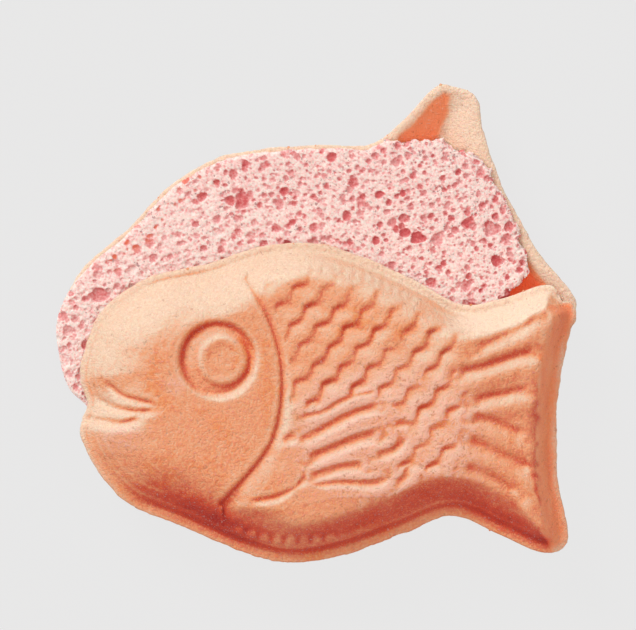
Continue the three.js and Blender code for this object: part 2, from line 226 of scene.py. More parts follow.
def curve_through(points, closed=False, steps=10):
    """Catmull-Rom spline through points: a cubic on each span whose end slopes are half the
    chord between the neighbouring points, sampled steps times a span."""
    knots = np.asarray(points, float)
    if closed:
        padded = np.vstack([knots[-1:], knots, knots[:2]])
    else:
        padded = np.vstack([2 * knots[0] - knots[1], knots, 2 * knots[-1] - knots[-2]])
    p0, p1, p2, p3 = (padded[k:len(padded) - 3 + k, None] for k in range(4))
    t = np.linspace(0, 1, steps, endpoint=False)[None, :, None]
    m1, m2 = (p2 - p0) / 2, (p3 - p1) / 2
    body = (p1 + m1 * t + (3 * (p2 - p1) - 2 * m1 - m2) * t**2 + (2 * (p1 - p2) + m1 + m2) * t**3)
    return np.vstack([body.reshape(-1, 2), padded[-2:-1]])


def distance_to(path, xy, reach=np.inf):
    """Least distance from each place to a polyline, infinite where it is well beyond reach. The
    places are taken in squares, each against only the segments that can be nearest to it."""
    square = 4.0
    start, run = path[:-1], np.diff(path, axis=0)
    size = (run**2).sum(1)

    def to_segments(places, chosen):
        off = places[:, None] - start[chosen]
        t = np.clip((off * run[chosen]).sum(2) / size[chosen], 0, 1)
        return np.sqrt(((off - t[..., None] * run[chosen]) ** 2).sum(2))

    least = np.full(len(xy), np.inf)
    cells, member = np.unique(np.floor(xy / square), axis=0, return_inverse=True)
    order = np.argsort(member.ravel(), kind="stable")
    ends = np.searchsorted(member.ravel()[order], np.arange(len(cells) + 1))
    away = to_segments((cells + 0.5) * square, slice(None))
    for number, nearest in enumerate(away.min(1)):
        if nearest < reach + square:
            inside = order[ends[number]:ends[number + 1]]
            chosen = away[number] <= nearest + math.sqrt(2) * square
            least[inside] = to_segments(xy[inside], chosen).min(1)
    return least


def even_steps(line, count):
    """Places at equal steps along a polyline, without its last point."""
    lengths = np.concatenate([[0], np.cumsum(np.hypot(*np.diff(line, axis=0).T))])
    targets = lengths[-1] * np.arange(count) / count
    return np.stack([np.interp(targets, lengths, line[:, k]) for k in (0, 1)], 1)


def cell_random(cells, seed):
    """One repeatable number from 0 to 1 for each whole-number cell, by mixing its bits."""
    x = cells.astype(np.int64).astype(np.uint64)
    h = x[..., 0] * np.uint64(0x9E3779B1) ^ x[..., 1] * np.uint64(0x85EBCA77)
    h = h + np.uint64(seed) * np.uint64(0xC2B2AE3D)
    for shift, factor in ((15, 0x2C1B3C6D), (12, 0x297A2D39), (15, 1)):
        h = h & np.uint64(0xFFFFFFFF)
        h = (h ^ (h >> np.uint64(shift))) * np.uint64(factor)
    return h / 2.0**32


def value_noise(xy, size, seed):
    """Smooth noise from -1 to 1: random numbers on a square grid of that size, eased between."""
    place = xy / size
    cell = np.floor(place)
    t = place - cell
    t = t * t * (3 - 2 * t)
    corner = {o: cell_random(cell + o, seed) for o in itertools.product((0, 1), repeat=2)}
    low = mix(corner[0, 0], corner[1, 0], t[:, 0])
    high = mix(corner[0, 1], corner[1, 1], t[:, 0])
    return 2 * mix(low, high, t[:, 1]) - 1


def layered_noise(xy, *layers):
    """Sum of value noises, given by height, size and seed."""
    return sum(height * value_noise(xy, size, seed) for height, size, seed in layers)


# ---------------------------------------------------------------- the fish's plan

OUTLINE = curve_through(OUTLINE_POINTS, closed=True, steps=12)
LINES = [(depth, width, curve_through(points)) for depth, width, points in PRESSED_LINES]


def shell_inset(xy):
    """Distance inwards from the shell's edge."""
    return distance_to(OUTLINE, xy)


def filling_inset(xy, border):
    """Distance inwards from the filling's edge, negative outside it. The edge keeps a border
    inside the shell's edge and is broken off along five lines in the tail, with ragged bites."""
    ragged = layered_noise(xy, (0.6, 2.3, 41), (0.5, 1.1, 42), (0.35, 0.55, 43))
    spread = ease(-xy[:, 0], 36, 50)
    inset = shell_inset(xy) - border * (1 - spread) + 0.3 * ragged * (1 - spread)
    for normal, distance in FILLING_BREAKS:
        inset = np.minimum(inset, distance + ragged - xy @ np.array(normal))
    return inset


class Sections:
    """Lines across the fish, from its edge to the root line between HEAD_ROOT and TAIL_ROOT,
    anticlockwise from the belly below HEAD_ROOT. They are upright along the body and fan out
    from one root round the tail and the head."""

    def __init__(self, pitch):
        tail_edge, head_edge = self.corner_lines()
        runs = [np.hypot(*np.diff(line, axis=0).T).sum() for line in (tail_edge, head_edge)]
        side, tail, head = (
            GROUP * round(run / pitch / GROUP) for run in (TAIL_ROOT[0] - HEAD_ROOT[0], *runs))
        along = np.arange(side) / side
        belly = mix(HEAD_ROOT, TAIL_ROOT, along[:, None])
        back = mix(TAIL_ROOT, HEAD_ROOT, along[:, None])
        self.edge = np.vstack([
            self.edge_at(belly[:, 0], -1),
            even_steps(tail_edge, tail),
            self.edge_at(back[:, 0], 1),
            even_steps(head_edge, head),
        ])
        self.root = np.vstack([
            belly, np.tile(TAIL_ROOT, (tail, 1)), back, np.tile(HEAD_ROOT, (head, 1)),
        ])
        self.root_index = np.concatenate([
            np.arange(side), np.full(tail, side), side - np.arange(side), np.zeros(head, int),
        ])
        self.count, self.side = len(self.edge), side
        self.length = np.hypot(*(self.root - self.edge).T)

    @staticmethod
    def edge_at(x, side):
        """Where an upright line meets the outline, on the back (1) or the belly (-1)."""
        ring = OUTLINE[(side * OUTLINE[:, 1] > 12) & (abs(OUTLINE[:, 0]) < 45)]
        ring = ring[np.argsort(ring[:, 0])]
        return np.stack([x, np.interp(x, ring[:, 0], ring[:, 1])], 1)

    def corner_lines(self):
        """The outline round the tail and round the head, from one body section to the other."""
        tail = OUTLINE[OUTLINE[:, 0] > TAIL_ROOT[0]]
        head = OUTLINE[OUTLINE[:, 0] < HEAD_ROOT[0]]
        tail_x, head_x = np.array([TAIL_ROOT[0]]), np.array([HEAD_ROOT[0]])
        return (
            np.vstack([self.edge_at(tail_x, -1), tail, self.edge_at(tail_x, 1)]),
            np.vstack([self.edge_at(head_x, 1), head, self.edge_at(head_x, -1)]),
        )

    def places(self, shares):
        """Places at shares of the way from edge to root; shares is rings x sections."""
        return mix(self.edge, self.root, shares[..., None])

    def shares_at(self, insets, inset_of):
        """Shares at which each section first lies at each inset, by sampling its outer end."""
        step, margin = 0.2, 16
        steps = np.arange(0, 0.999 * self.length.max(), step)
        rows = min(len(steps), int((max(insets) + margin) / step))
        shares = np.minimum(steps[:rows, None] / self.length, 1.0)
        values = inset_of(self.places(shares).reshape(-1, 2)).reshape(shares.shape)
        values = np.maximum.accumulate(values, axis=0)
        columns = np.arange(self.count)
        found = []
        for inset in insets:
            upper = np.clip((values < inset).sum(0), 1, rows - 1)
            low, high = values[upper - 1, columns], values[upper, columns]
            t = np.clip((inset - low) / np.maximum(high - low, 1e-6), 0, 1)
            share = mix(shares[upper - 1, columns], shares[upper, columns], t)
            found.append(np.where(values[0] >= inset, 0.0, share))
        return np.array(found)


def inward_steps(length, pitch):
    """Even shares of a length, about pitch apart, without its two ends."""
    rows = round(length / pitch)
    return (np.arange(1, rows) / rows)[:, None]


def closed_rings(sections, shares, coarseness):
    """Vertices and triangles of a closed skin over rings x sections. Where sections crowd
    together a ring keeps only every 2nd, 4th or 8th vertex, so that they stay about coarseness
    apart. Before the first ring and after the last one the skin closes on the root line, which
    both sides of the fish share. Returns the plan of the vertices, the ring of each, from -1 on
    the first root line to one past the last ring on the other, and the triangles."""
    rings, count = shares.shape
    columns = np.arange(count)
    places = sections.places(shares)
    step = np.hypot(*np.moveaxis(np.roll(places, -1, axis=1) - places, 2, 0))
    step = np.maximum(step.reshape(rings, count // GROUP, GROUP).mean(2), 1e-6)
    halvings = np.clip(np.floor(np.log2(coarseness / step)), 0, math.log2(GROUP)).astype(int)
    stride = np.repeat(2**halvings, GROUP, axis=1)
    kept = columns % stride == 0
    nearest = (np.round(columns / stride - 0.01).astype(int) * stride) % count
    number = (np.cumsum(kept.ravel()) - 1).reshape(rings, count)
    index = np.take_along_axis(number, nearest, axis=1)
    roots = mix(HEAD_ROOT, TAIL_ROOT, np.linspace(0, 1, sections.side + 1)[:, None])
    first = (sections.root_index + np.count_nonzero(kept))[None]
    index = np.vstack([first, index, first + len(roots)])
    plan = np.vstack([places[kept], roots, roots])
    ring = np.concatenate([np.nonzero(kept)[0], np.repeat([-1, rings], len(roots))])
    inner, outer = index[:-1], index[1:]
    next_inner, next_outer = (np.roll(rows, -1, axis=1) for rows in (inner, outer))
    faces = np.concatenate([
        np.stack([inner, outer, next_outer], 2).reshape(-1, 3),
        np.stack([inner, next_outer, next_inner], 2).reshape(-1, 3),
    ])
    a, b, c = faces.T
    faces = faces[(a != b) & (b != c) & (c != a)]
    return plan, ring, faces


# ---------------------------------------------------------------- the shell's form

def slope_width(x, y):
    """Width of the slope between flange and crown: wide on the head, wider along the belly than
    along the back, narrow at the tail's end."""
    return mix(mix(13.0, mix(6.8, 5.4, ease(y, -4, 4)), ease(x, -30, -4)), 3.2, ease(x, 40, 47))


def slope_roundness(x, y):
    """How convex the slope is: most on the head, straight where it is 1."""
    return mix(2.1, mix(0.95, 1.35, ease(y, -4, 4)), ease(x, -30, -8))


def slope_share(inset, width, roundness):
    """Share of the rise from flange to crown: 1 - (1 - u) ^ roundness, where u is inset / width,
    bent over to 1 through a hyperbola so that the crown's edge is worn round."""
    u = inset / width
    u = (u + 1 - np.sqrt((u - 1) ** 2 + 0.03)) / 2
    return 1 - (1 - np.clip(u, 0, 1)) ** roundness


def scales_depth(x, y, size):
    """Rows of overlapping scallops slanting across the body. Across a row a scale rises by a
    quarter sine from under the edge of the row before it and drops at its own edge, which
    bulges towards the tail by the mean of 1 - s^2 and (1 + cos(pi s)) / 2, s along the scale.
    The drop is deepest below the bulge and shallow beside it, by cos(pi (s + 0.65))."""
    cos, sin = math.cos(SCALES_SLANT), math.sin(SCALES_SLANT)
    along, across = x * cos + y * sin - SCALES_START[0], x * sin - y * cos - SCALES_START[1]
    across = across + 0.35 * value_noise(np.stack([x, y], 1), 4.0, 72)

    def along_scale(row):
        place = (along - row * size.row_shift) / size.scale_pitch
        return 2 * (place - np.floor(place)) - 1

    def edge_of(row):
        s = along_scale(row)
        bulge = 0.5 * (1 - s**2) + 0.25 * (1 + np.cos(math.pi * s))
        return row * size.row_pitch + size.scale_bulge * bulge

    def drop_of(row):
        return 0.9 + 0.32 * np.cos(math.pi * (along_scale(row) + 0.65))

    row = np.floor(across / size.row_pitch) - 1
    for _ in range(3):
        row = np.where(edge_of(row) < across, row + 1, row)
    t = np.clip((across - edge_of(row - 1)) / (edge_of(row) - edge_of(row - 1)), 0, 1)
    below = drop_of(row - 1) * (1 - np.sin(math.pi / 2 * np.minimum(t / 0.75, 1)))
    edge = drop_of(row) * ease(t, 0.68, 1.0)
    uneven = 1 + 0.6 * value_noise(np.stack([x, y], 1), 5.0, 71)
    return size.scale_depth * uneven * (below + edge)


def behind_gill(x, y):
    """Distance behind the gill line, negative on the head."""
    gill = LINES[0][2][::-1]
    return x - np.interp(y, gill[:, 1], gill[:, 0])


def scales_share(x, y, inset, to_gill):
    """Where the scales lie: behind the gill line, on the crown, off the side fin and the smooth
    strip along the belly."""
    dx, dy, (cos, sin) = x - FIN_CENTRE[0], y - FIN_CENTRE[1], FIN_ALONG
    along = (dx * cos + dy * sin) / FIN_HALF_SIZES[0]
    across = (dy * cos - dx * sin) / FIN_HALF_SIZES[1]
    share = ease(to_gill, 1.0, 2.2) * (behind_gill(x, y) > 0)
    share = share * ease(inset, slope_width(x, y) - 1.5, slope_width(x, y) + 2.0)
    share = share * fade(x - 0.12 * y, 26, 33)
    share = share * ease(y - np.interp(x, *SCALES_LOWER_EDGE), -1.0, 1.8)
    return share * ease(np.hypot(along, across), 0.92, 1.16)


def beads_height(xy):
    """Rows of blunt beads: height * exp(-(distance / radius)^3) round each of the even places."""
    raised = np.zeros(len(xy))
    for height, radius, count, points in BEAD_ROWS:
        centres = even_steps(curve_through(points), count)
        away = np.sqrt(((xy[:, None] - centres) ** 2).sum(2)).min(1)
        raised += height * np.exp(-((away / radius) ** 3))
    return raised


def line_relief(xy, depth, width, path):
    """A pressed line and the swell below it, both fading at the line's ends. The wall above the
    line is a little steeper than the one below it; the narrowest lines have no swell."""
    away = distance_to(path, xy, 8 * width)
    ends = np.minimum(distance_from(path[0], xy), distance_from(path[-1], xy))
    depth = depth * (0.2 + 0.8 * ease(ends, 0.0, 2.8))
    path = path[np.argsort(path[:, 0])]
    above = xy[:, 1] - np.interp(xy[:, 0], path[:, 0], path[:, 1])
    below = ease(-above / np.maximum(away, 1e-3), -0.6, 0.8)
    pressed = depth * hump(away, 0, width * mix(1.25, 1.5, below))
    swell = 0.35 * depth * below * np.exp(-((away / width - 3.0) ** 2) / 3.0)
    return pressed, swell * ease(width, 0.45, 0.8)


def pressed_relief(xy, inset, size):
    """Height to add to the crown for everything pressed into it. The gill line's far side rises
    slowly, so that the head stands over the body like a plate."""
    x, y = xy.T
    pressed, lip = np.zeros(len(xy)), np.zeros(len(xy))
    for line in LINES[1:]:
        line_pressed, line_lip = line_relief(xy, *line)
        pressed, lip = np.maximum(pressed, line_pressed), np.maximum(lip, line_lip)
    depth, width, path = LINES[0]
    to_gill, behind = distance_to(path, xy, 8), behind_gill(x, y)
    far_width = mix(1.5, 2.6, ease(-y, 0, 18))
    away = to_gill / np.where(behind > 0, far_width, width)
    pressed = np.maximum(pressed, depth * np.exp(-(away**1.6)))
    socket, pupil = distance_from(EYE_SOCKET, xy), distance_from(EYE_PUPIL, xy)
    in_socket = fade(socket, EYE_SOCKET_RADIUS - 1.7, EYE_SOCKET_RADIUS + 0.2)
    floor = mix(0.65, 1.0, ease(socket, 4.5, EYE_SOCKET_RADIUS - 1.5))
    on_pupil = fade(pupil, EYE_PUPIL_RADIUS - 1.1, EYE_PUPIL_RADIUS + 0.4)
    pressed = np.maximum(pressed, size.eye_depth * in_socket * (floor - 0.5 * on_pupil))
    lip = np.maximum(lip, 0.16 * hump(socket, EYE_SOCKET_RADIUS + 1.2, 1.2))
    dish = 0.18 * fade(pupil, 2.8, EYE_PUPIL_RADIUS - 1.0)
    pressed = np.maximum(pressed, 0.3 * hump(distance_from(EYE_DIMPLE, xy), 0, 0.8))
    share = scales_share(x, y, inset, to_gill)
    pressed = np.maximum(pressed, scales_depth(x, y, size) * share) + dish
    on_crown = ease(inset, size.flange_width, size.flange_width + 1.5)
    on_crown = np.maximum(on_crown, 0.5 * ease(-x, 46, 51))
    ridge = distance_to(curve_through(BELLY_RIDGE), xy, 4)
    raised = lip * (1 - share) + 0.3 * hump(ridge, 0, 1.1)
    ledge = hump(inset, 3.9, 1.1) * (y < 0) * ease(x, -26, -18) * fade(x, 8, 18)
    return (raised + beads_height(xy) + 0.4 * ledge - pressed) * on_crown


def crown_depth(x, size):
    """Height of the crown over the rim plane: less in the tail, and 1 mm less at its end."""
    return mix(size.shell_depth, size.tail_depth, ease(x, 24, 44)) - ease(x, 43, 52)


def outer_height(xy, size):
    """Height of the shell's relief face over its rim plane: a flange that thins towards its
    edge, a slope that leaves it in a fillet, tight but for the snout, and the crown."""
    inset = shell_inset(xy)
    past = inset - size.flange_width
    past = (past + np.sqrt(past**2 + mix(0.12, 2.5, ease(-xy[:, 0], 38, 50)))) / 2
    rise = slope_share(past, slope_width(*xy.T), slope_roundness(*xy.T))
    rise = rise * (crown_depth(xy[:, 0], size) - size.flange_thickness)
    outwards = 1 - np.clip(inset / size.flange_width, 0, 1)
    flange = size.flange_thickness * (1 - 0.25 * outwards**3)
    uneven = layered_noise(xy, (0.10, 7.0, 11), (0.06, 2.6, 12), (0.04, 0.9, 13))
    uneven = uneven * ease(inset, 0.2, 2.0)
    return np.minimum(flange + rise + pressed_relief(xy, inset, size) + uneven, size.shell_depth)


def hollow_height(xy, size, uneven=1.0):
    """Height of the shell's hollow face over its rim plane. In the tail it falls away evenly
    from the tail's edges, by the soft minimum of the distances to them, to a valley that starts
    at the tail's upper corner."""
    x, inset = xy[:, 0], shell_inset(xy)
    in_tail = ease(x, 20, 38)
    edges = [distance_to(curve_through(points), xy) - 1.0 for points in HOLLOW_EDGES]
    past_tail = -np.log(sum(np.exp(-past) for past in [*edges, 1.2 * (inset - 0.9)]))
    past = mix(inset - size.flange_width - HOLLOW_STEP, past_tail, in_tail)
    roundness = mix(slope_roundness(*xy.T), 1.0, in_tail)
    rise = slope_share(past, mix(slope_width(*xy.T), 11.0, in_tail), roundness)
    rough = layered_noise(xy, (0.12, 3.1, 21), (0.06, 1.2, 22))
    smooth = (crown_depth(x, size) - size.wall_thickness) * rise
    return smooth + uneven * rough * ease(rise, 0, 0.2)


# ---------------------------------------------------------------- placing the two halves

class Half:
    """Carries places of one half from the fish's frame into the part's frame, in millimetres."""

    def __init__(self, turn, rim, shift, flipped):
        self.turn, self.rim, self.shift, self.flipped = turn, rim, shift, flipped

    def carry(self, xy, height):
        level = self.rim + (-height if self.flipped else height)
        return np.column_stack([turned(xy, self.turn) + self.shift, level])


def placed_halves(opening):
    """The front half stands where its CAD shell's box does. The back half is turned by the
    opening angle about the mouth and stands where its own CAD shell's box does."""
    halves = []
    for node, turn, flipped in (("front_shell", 0.0, False), ("back_shell", opening, True)):
        low, high = (np.array(end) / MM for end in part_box(node))
        shift = low[:2] - turned(OUTLINE, turn).min(0)
        halves.append(Half(turn, high[2] if flipped else low[2], shift, flipped))
    return halves


# ---------------------------------------------------------------- meshes and finishes

def add_mesh(name, vertices, faces, finish, **attributes):
    """A mesh object at the origin: vertices in millimetres, triangles and values per vertex."""
    mesh = bpy.data.meshes.new(name)
    mesh.vertices.add(len(vertices))
    mesh.vertices.foreach_set("co", (np.asarray(vertices) * MM).astype(np.float32).ravel())
    mesh.loops.add(faces.size)
    mesh.loops.foreach_set("vertex_index", faces.ravel().astype(np.int32))
    mesh.polygons.add(len(faces))
    mesh.polygons.foreach_set("loop_start", np.arange(0, faces.size, 3, dtype=np.int32))
    mesh.update(calc_edges=True)
    mesh.shade_smooth()
    for key, values in attributes.items():
        layer = mesh.attributes.new(key, "FLOAT", "POINT")
        layer.data.foreach_set("value", np.asarray(values, np.float32))
    mesh.materials.append(finish)
    piece = bpy.data.objects.new(name, mesh)
    bpy.context.scene.collection.objects.link(piece)
    return piece


def vertex_normals(vertices, faces):
    """Unit normals: the sum of the cross products of the faces round each vertex."""
    a, b, c = (vertices[faces[:, k]] for k in range(3))
    across = np.cross(b - a, c - a)
    normals = np.zeros_like(vertices)
    for k in range(3):
        for axis in range(3):
            normals[:, axis] += np.bincount(faces[:, k], across[:, axis], len(vertices))
    return normals / np.maximum(np.linalg.norm(normals, axis=1), 1e-9)[:, None]


def neighbour_mean(values, faces, rounds):
    """Values smoothed over the mesh: each round takes the mean over the edges at a vertex."""
    ends = np.concatenate([faces[:, [0, 1]], faces[:, [1, 2]], faces[:, [2, 0]]])
    count = np.maximum(np.bincount(ends.ravel(), minlength=len(values)), 1)
    for _ in range(rounds):
        given = np.bincount(ends[:, 0], values[ends[:, 1]], len(values))
        given += np.bincount(ends[:, 1], values[ends[:, 0]], len(values))
        values = given / count
    return values


def arithmetic(operation, swapped=False):
    """A method of Socket that adds a Math node; swapped puts the socket second."""
    def method(self, other):
        return self.finish.math(operation, *((other, self) if swapped else (self, other)))
    return method


class Socket:
    """One output of a shader node. Arithmetic on it adds Math nodes to the same finish."""

    def __init__(self, finish, output):
        self.finish, self.output = finish, output

    __add__, __radd__ = arithmetic("ADD"), arithmetic("ADD", swapped=True)
    __sub__, __rsub__ = arithmetic("SUBTRACT"), arithmetic("SUBTRACT", swapped=True)
    __mul__, __rmul__ = arithmetic("MULTIPLY"), arithmetic("MULTIPLY", swapped=True)


class Finish:
    """A material or a world under construction."""

    def __init__(self, owner):
        owner.use_nodes = True
        self.tree = owner.node_tree
        self.tree.nodes.clear()

    def node(self, kind, settings=(), inputs=(), output=0):
        """Any node: its settings first, then the values or links of its sockets. Returns the
        wanted output, or None where the node has no outputs."""
        made = self.tree.nodes.new(kind)
        for key, value in dict(settings).items():
            setattr(made, key, value)
        for key, value in dict(inputs).items():
            if isinstance(value, Socket):
                self.tree.links.new(value.output, made.inputs[key])
            else:
                made.inputs[key].default_value = value
        return Socket(self, made.outputs[output]) if len(made.outputs) else None

    def math(self, operation, *values):
        return self.node("ShaderNodeMath", {"operation": operation}, dict(enumerate(values)))

    def attribute(self, name):
        return self.node("ShaderNodeAttribute", {"attribute_name": name}, output="Fac")

    def place(self):
        return self.node("ShaderNodeTexCoord", output="Object")

    def noise(self, size, detail, roughness):
        """Noise whose features are about size millimetres, from -0.5 to 0.5."""
        inputs = {"Vector": self.place(), "Scale": 1 / (size * MM)}
        inputs |= {"Detail": detail, "Roughness": roughness}
        return self.node("ShaderNodeTexNoise", inputs=inputs) - 0.5

    def cells(self, size):
        """Distance to the nearest of scattered points about size millimetres apart, 0 to 1."""
        inputs = {"Vector": self.place(), "Scale": 1 / (size * MM)}
        return self.node("ShaderNodeTexVoronoi", inputs=inputs, output="Distance")

    def ramp(self, value, low, high):
        """0 below low, 1 above high, smooth between."""
        settings = {"interpolation_type": "SMOOTHSTEP"}
        inputs = {"Value": value, "From Min": low, "From Max": high}
        return self.node("ShaderNodeMapRange", settings, inputs)

    def blend(self, colour, *layers):
        """A colour with others laid over it, each by its factor; a third word says how."""
        for factor, over, *how in layers:
            settings = {"data_type": "RGBA", "blend_type": how[0] if how else "MIX"}
            inputs = {0: factor, 6: colour, 7: over}
            colour = self.node("ShaderNodeMix", settings, inputs, output=2)
        return colour

    def scale_of(self, value, stops):
        """Colour along a straight scale; stops are pairs of value and colour, in rising order."""
        least, greatest = stops[0][0], stops[-1][0]
        share = (value - least) * (1 / (greatest - least))
        colours = self.node("ShaderNodeValToRGB", inputs={"Fac": share})
        elements = colours.output.node.color_ramp.elements
        for _ in stops[2:]:
            elements.new(0.5)
        for element, (stop, colour) in zip(elements, stops):
            element.position = (stop - least) / (greatest - least)
            element.color = colour
        return colours

    def bump(self, height, strength, distance):
        inputs = {"Height": height, "Strength": strength, "Distance": distance * MM}
        return self.node("ShaderNodeBump", inputs=inputs)

    def surface(self, constants, inputs):
        """The skin shader: constants stand on its own sockets, inputs vary over the surface."""
        shader = self.node("ShaderNodeBsdfPrincipled", inputs={**constants, **inputs})
        self.node("ShaderNodeOutputMaterial", inputs={"Surface": shader})


def wafer_finish(skin, colours):
    """Crisp baked wafer: mid tone on the flats, cream where it caught little heat and in painted
    light, red brown where it baked long and in painted shade, amber blotches, a brighter colour
    deep inside with painted light that it gives off by itself, a pale speckle that is partly
    painted sheen, a strong grain and pores."""
    # The tint that the vertices carry is painted light and shade as well as the baking
    bake, bloom, glow = skin.attribute("bake"), skin.attribute("bloom"), skin.attribute("glow")
    blotch, mottle = skin.noise(8.0, 3.0, 0.55), skin.noise(1.6, 3.0, 0.6)
    grain, fine = skin.noise(0.85, 2.0, 0.6), skin.noise(0.45, 2.0, 0.6)
    tone = bake + 0.35 * blotch + 0.35 * mottle + grain + 1.7 * fine
    # Cream and pale stand for less baked wafer and for painted light; the baked and burnt stops
    # for longer baked wafer and for painted shade
    colour = skin.scale_of(tone, [
        (-1.7, colours.wafer_cream_and_light),
        (-1.1, colours.wafer_pale_and_light),
        (0.0, colours.wafer),
        (0.85, colours.wafer_baked),
        (1.6, colours.wafer_burnt_and_shade),
    ])
    # Where the painted shade and the baking are deepest; there the painted light shines by itself
    deep = skin.ramp(bake, 0.6, 1.4)
    amber = skin.ramp(blotch + 0.5 * mottle + 0.7 * grain, 0.0, 0.25) * skin.ramp(bake, -0.4, 0.0)
    # Painted light: a brighter colour inside the shells and at the tail's end, less where the
    # painted shade is deepest
    painted_glow_share = glow * skin.ramp(bake, -0.8, 0.3) * (1 - 0.6 * deep)
    # Pale speckle, partly painted sheen: it keeps off places in painted shade
    dust_and_sheen = skin.ramp(bloom + 0.5 * mottle + 1.3 * grain + 2.4 * fine, 0.1, 0.9)
    pores = skin.cells(1.6) + 1.4 * grain + 1.6 * fine + 1.2 * mottle - 0.16 * bloom - 0.05 * bake
    colour = skin.blend(
        colour,
        (0.8 * amber, colours.wafer_amber, "MULTIPLY"),
        (painted_glow_share, colours.wafer_painted_glow),
        (0.6 * dust_and_sheen, colours.wafer_bloom),
        (0.4 * skin.ramp(pores, 0.06, -0.1), colours.wafer_pore),
    )
    # Painted light that the wafer gives off by itself deep inside, where no lamp reaches
    painted_emission = skin.blend((0.0, 0.0, 0.0, 1.0), (glow * deep, colours.wafer_painted_emission))
    height = grain + fine + 0.8 * mottle
    skin.surface(
        {
            "Roughness": 0.62,
            "Specular IOR Level": 0.3,
            "Subsurface Weight": 0.2,
            "Subsurface Radius": (1.0, 0.38, 0.22),
            "Subsurface Scale": 0.8 * MM,
            # Strength of the painted light that the wafer gives off by itself
            "Emission Strength": 0.35,
        },
        {"Base Color": colour, "Emission Color": painted_emission, "Normal": skin.bump(height, 0.8, 0.4)},
    )


def foam_finish(skin, colours):
    """Aerated filling: pale walls; bowls from pink over coral to red by their own tone and by
    painted shade, the deeper they are and the more they look away from the light; rust by the rim;
    and tiny dark holes in the walls."""
    pit, tone, rim, shade = (skin.attribute(name) for name in ("pit", "tone", "rim", "shade"))
    crumb, froth = skin.noise(0.9, 3.0, 0.6), skin.noise(0.5, 1.0, 0.5)
    patches = skin.ramp(skin.noise(4.0, 2.0, 0.5), -0.05, 0.15)
    # Painted shade: deeper bowls, and faces that look away from the main light, turn redder; each
    # bubble's own tone adds to it
    deep = pit * (0.24 + 0.64 * tone) + 0.27 * shade * skin.ramp(pit, 0.0, 0.4)
    colour = skin.scale_of(deep + 0.6 * crumb + 0.8 * froth, [
        (-0.1, colours.foam_pale),
        (0.06, colours.foam_wall),
        (0.30, colours.foam_bowl_shaded),
        (0.75, colours.foam_coral_shaded),
        (1.15, colours.foam_red_shaded),
    ])
    rust = rim * skin.ramp(deep, 0.2, 0.45)
    specks = patches * skin.ramp(skin.cells(0.95) + 1.2 * crumb + 1.2 * froth, 0.26, 0.08)
    specked = 0.7 * specks * (1 - 0.7 * skin.ramp(pit, 0.3, 0.6))
    colour = skin.blend(colour, (rust, colours.foam_rust), (specked, colours.foam_speck))
    skin.surface(
        {
            "Roughness": 0.55,
            "Specular IOR Level": 0.3,
            "Subsurface Weight": 0.4,
            "Subsurface Radius": (1.0, 0.5, 0.45),
            "Subsurface Scale": 1.2 * MM,
        },
        {"Base Color": colour, "Normal": skin.bump(crumb + froth - 0.2 * specks, 0.5, 0.3)},
    )


FINISHES = {"wafer_crust": wafer_finish, "filling_foam": foam_finish}


def finish_named(name, colours):
    """The finish of that name, which is made once and shared."""
    if name not in bpy.data.materials:
        FINISHES[name](Finish(bpy.data.materials.new(name)), colours)
    return bpy.data.materials[name]


# ---------------------------------------------------------------- shells

def shell_skin(size, pitch, hollow_pitch):
    """The closed skin of one shell in the fish's frame: plan, height, triangles, and whether
    each vertex is on the relief face. Rings run from the root line over the crown and the slope
    to the flange's round edge, and back along the hollow to the root line."""
    sections = Sections(min(pitch, hollow_pitch))
    # Insets of the rings near the edge, on the relief face and in the hollow
    near = np.array([0.12, 0.35, 0.7, 1.1, 1.5, 1.8, 2.0, 2.2, 2.4, 2.7, 3.1, 3.5])
    under = np.array([0.3, 1.0, 1.7, 2.3, 2.7, 3.2])
    near_shares = sections.shares_at(near, shell_inset)[::-1]
    under_shares = sections.shares_at(under, shell_inset)
    longest = sections.length.max() - near[-1]
    crown = mix(near_shares[0], 1.0, inward_steps(longest, pitch)[::-1])
    inner = mix(under_shares[-1], 1.0, inward_steps(longest, hollow_pitch))
    edge = len(crown) + len(near)
    shares = np.vstack([crown, near_shares, np.zeros((1, sections.count)), under_shares, inner])
    coarseness = np.full((len(shares), 1), pitch * SPREAD)
    coarseness[edge + 1:] = hollow_pitch * SPREAD
    plan, ring, faces = closed_rings(sections, shares, coarseness)
    on_top = ring < edge
    height = np.zeros(len(plan))
    height[on_top] = outer_height(plan[on_top], size)
    height[ring == edge - 1] -= 0.1     # rounds the flange's edge
    height[ring == edge] = 0.3 * size.flange_thickness
    height[ring > edge] = hollow_height(plan[ring > edge], size)
    return plan, height, faces, on_top


def flange_wobble(plan, chipped):
    """How unevenly the flange was trimmed: an outward shift of its edge that fades inwards, and
    a bite exp(-(distance / width)^2) round each place where it chipped."""
    inset = shell_inset(plan)
    outward = plan / np.maximum(np.linalg.norm(plan, axis=1), 1e-6)[:, None]
    shift = layered_noise(plan, (0.14, 5.0, 31), (0.12, 1.5, 32), (0.08, 0.6, 34)) - 0.05
    shift = shift * fade(inset, 0.0, 2.2)
    for x, y, deep, wide in chipped:
        near = np.exp(-((plan - (x, y)) ** 2).sum(1) / wide**2) * fade(inset, 0.0, 4.5)
        shift -= near * deep * (1 + 0.5 * value_noise(plan, 0.9, 33))
    return outward * shift[:, None]


def facing_of(normals):
    """How much more a surface looks at the main light than a flat one does."""
    light = LIGHT_FROM / np.linalg.norm(LIGHT_FROM)
    return normals @ light - light[2]


def tail_end(plan, inset):
    """Where the tail's end bevel and its flange are. The tail's corners divide them from the
    slopes of its other edges, and its upper tip is left out."""
    x, y = plan.T
    past = x - 0.75 * np.maximum(y - 19, 0) - 0.6 * np.maximum(-y - 27, 0)
    past = past + 0.8 * value_noise(plan, 1.5, 94)
    tip = ease(y + 0.8 * value_noise(plan, 1.5, 95), 21.4, 22.8)
    return ease(past, 45.8, 47.3) * fade(inset, 4.4, 6.0) * (1 - tip)


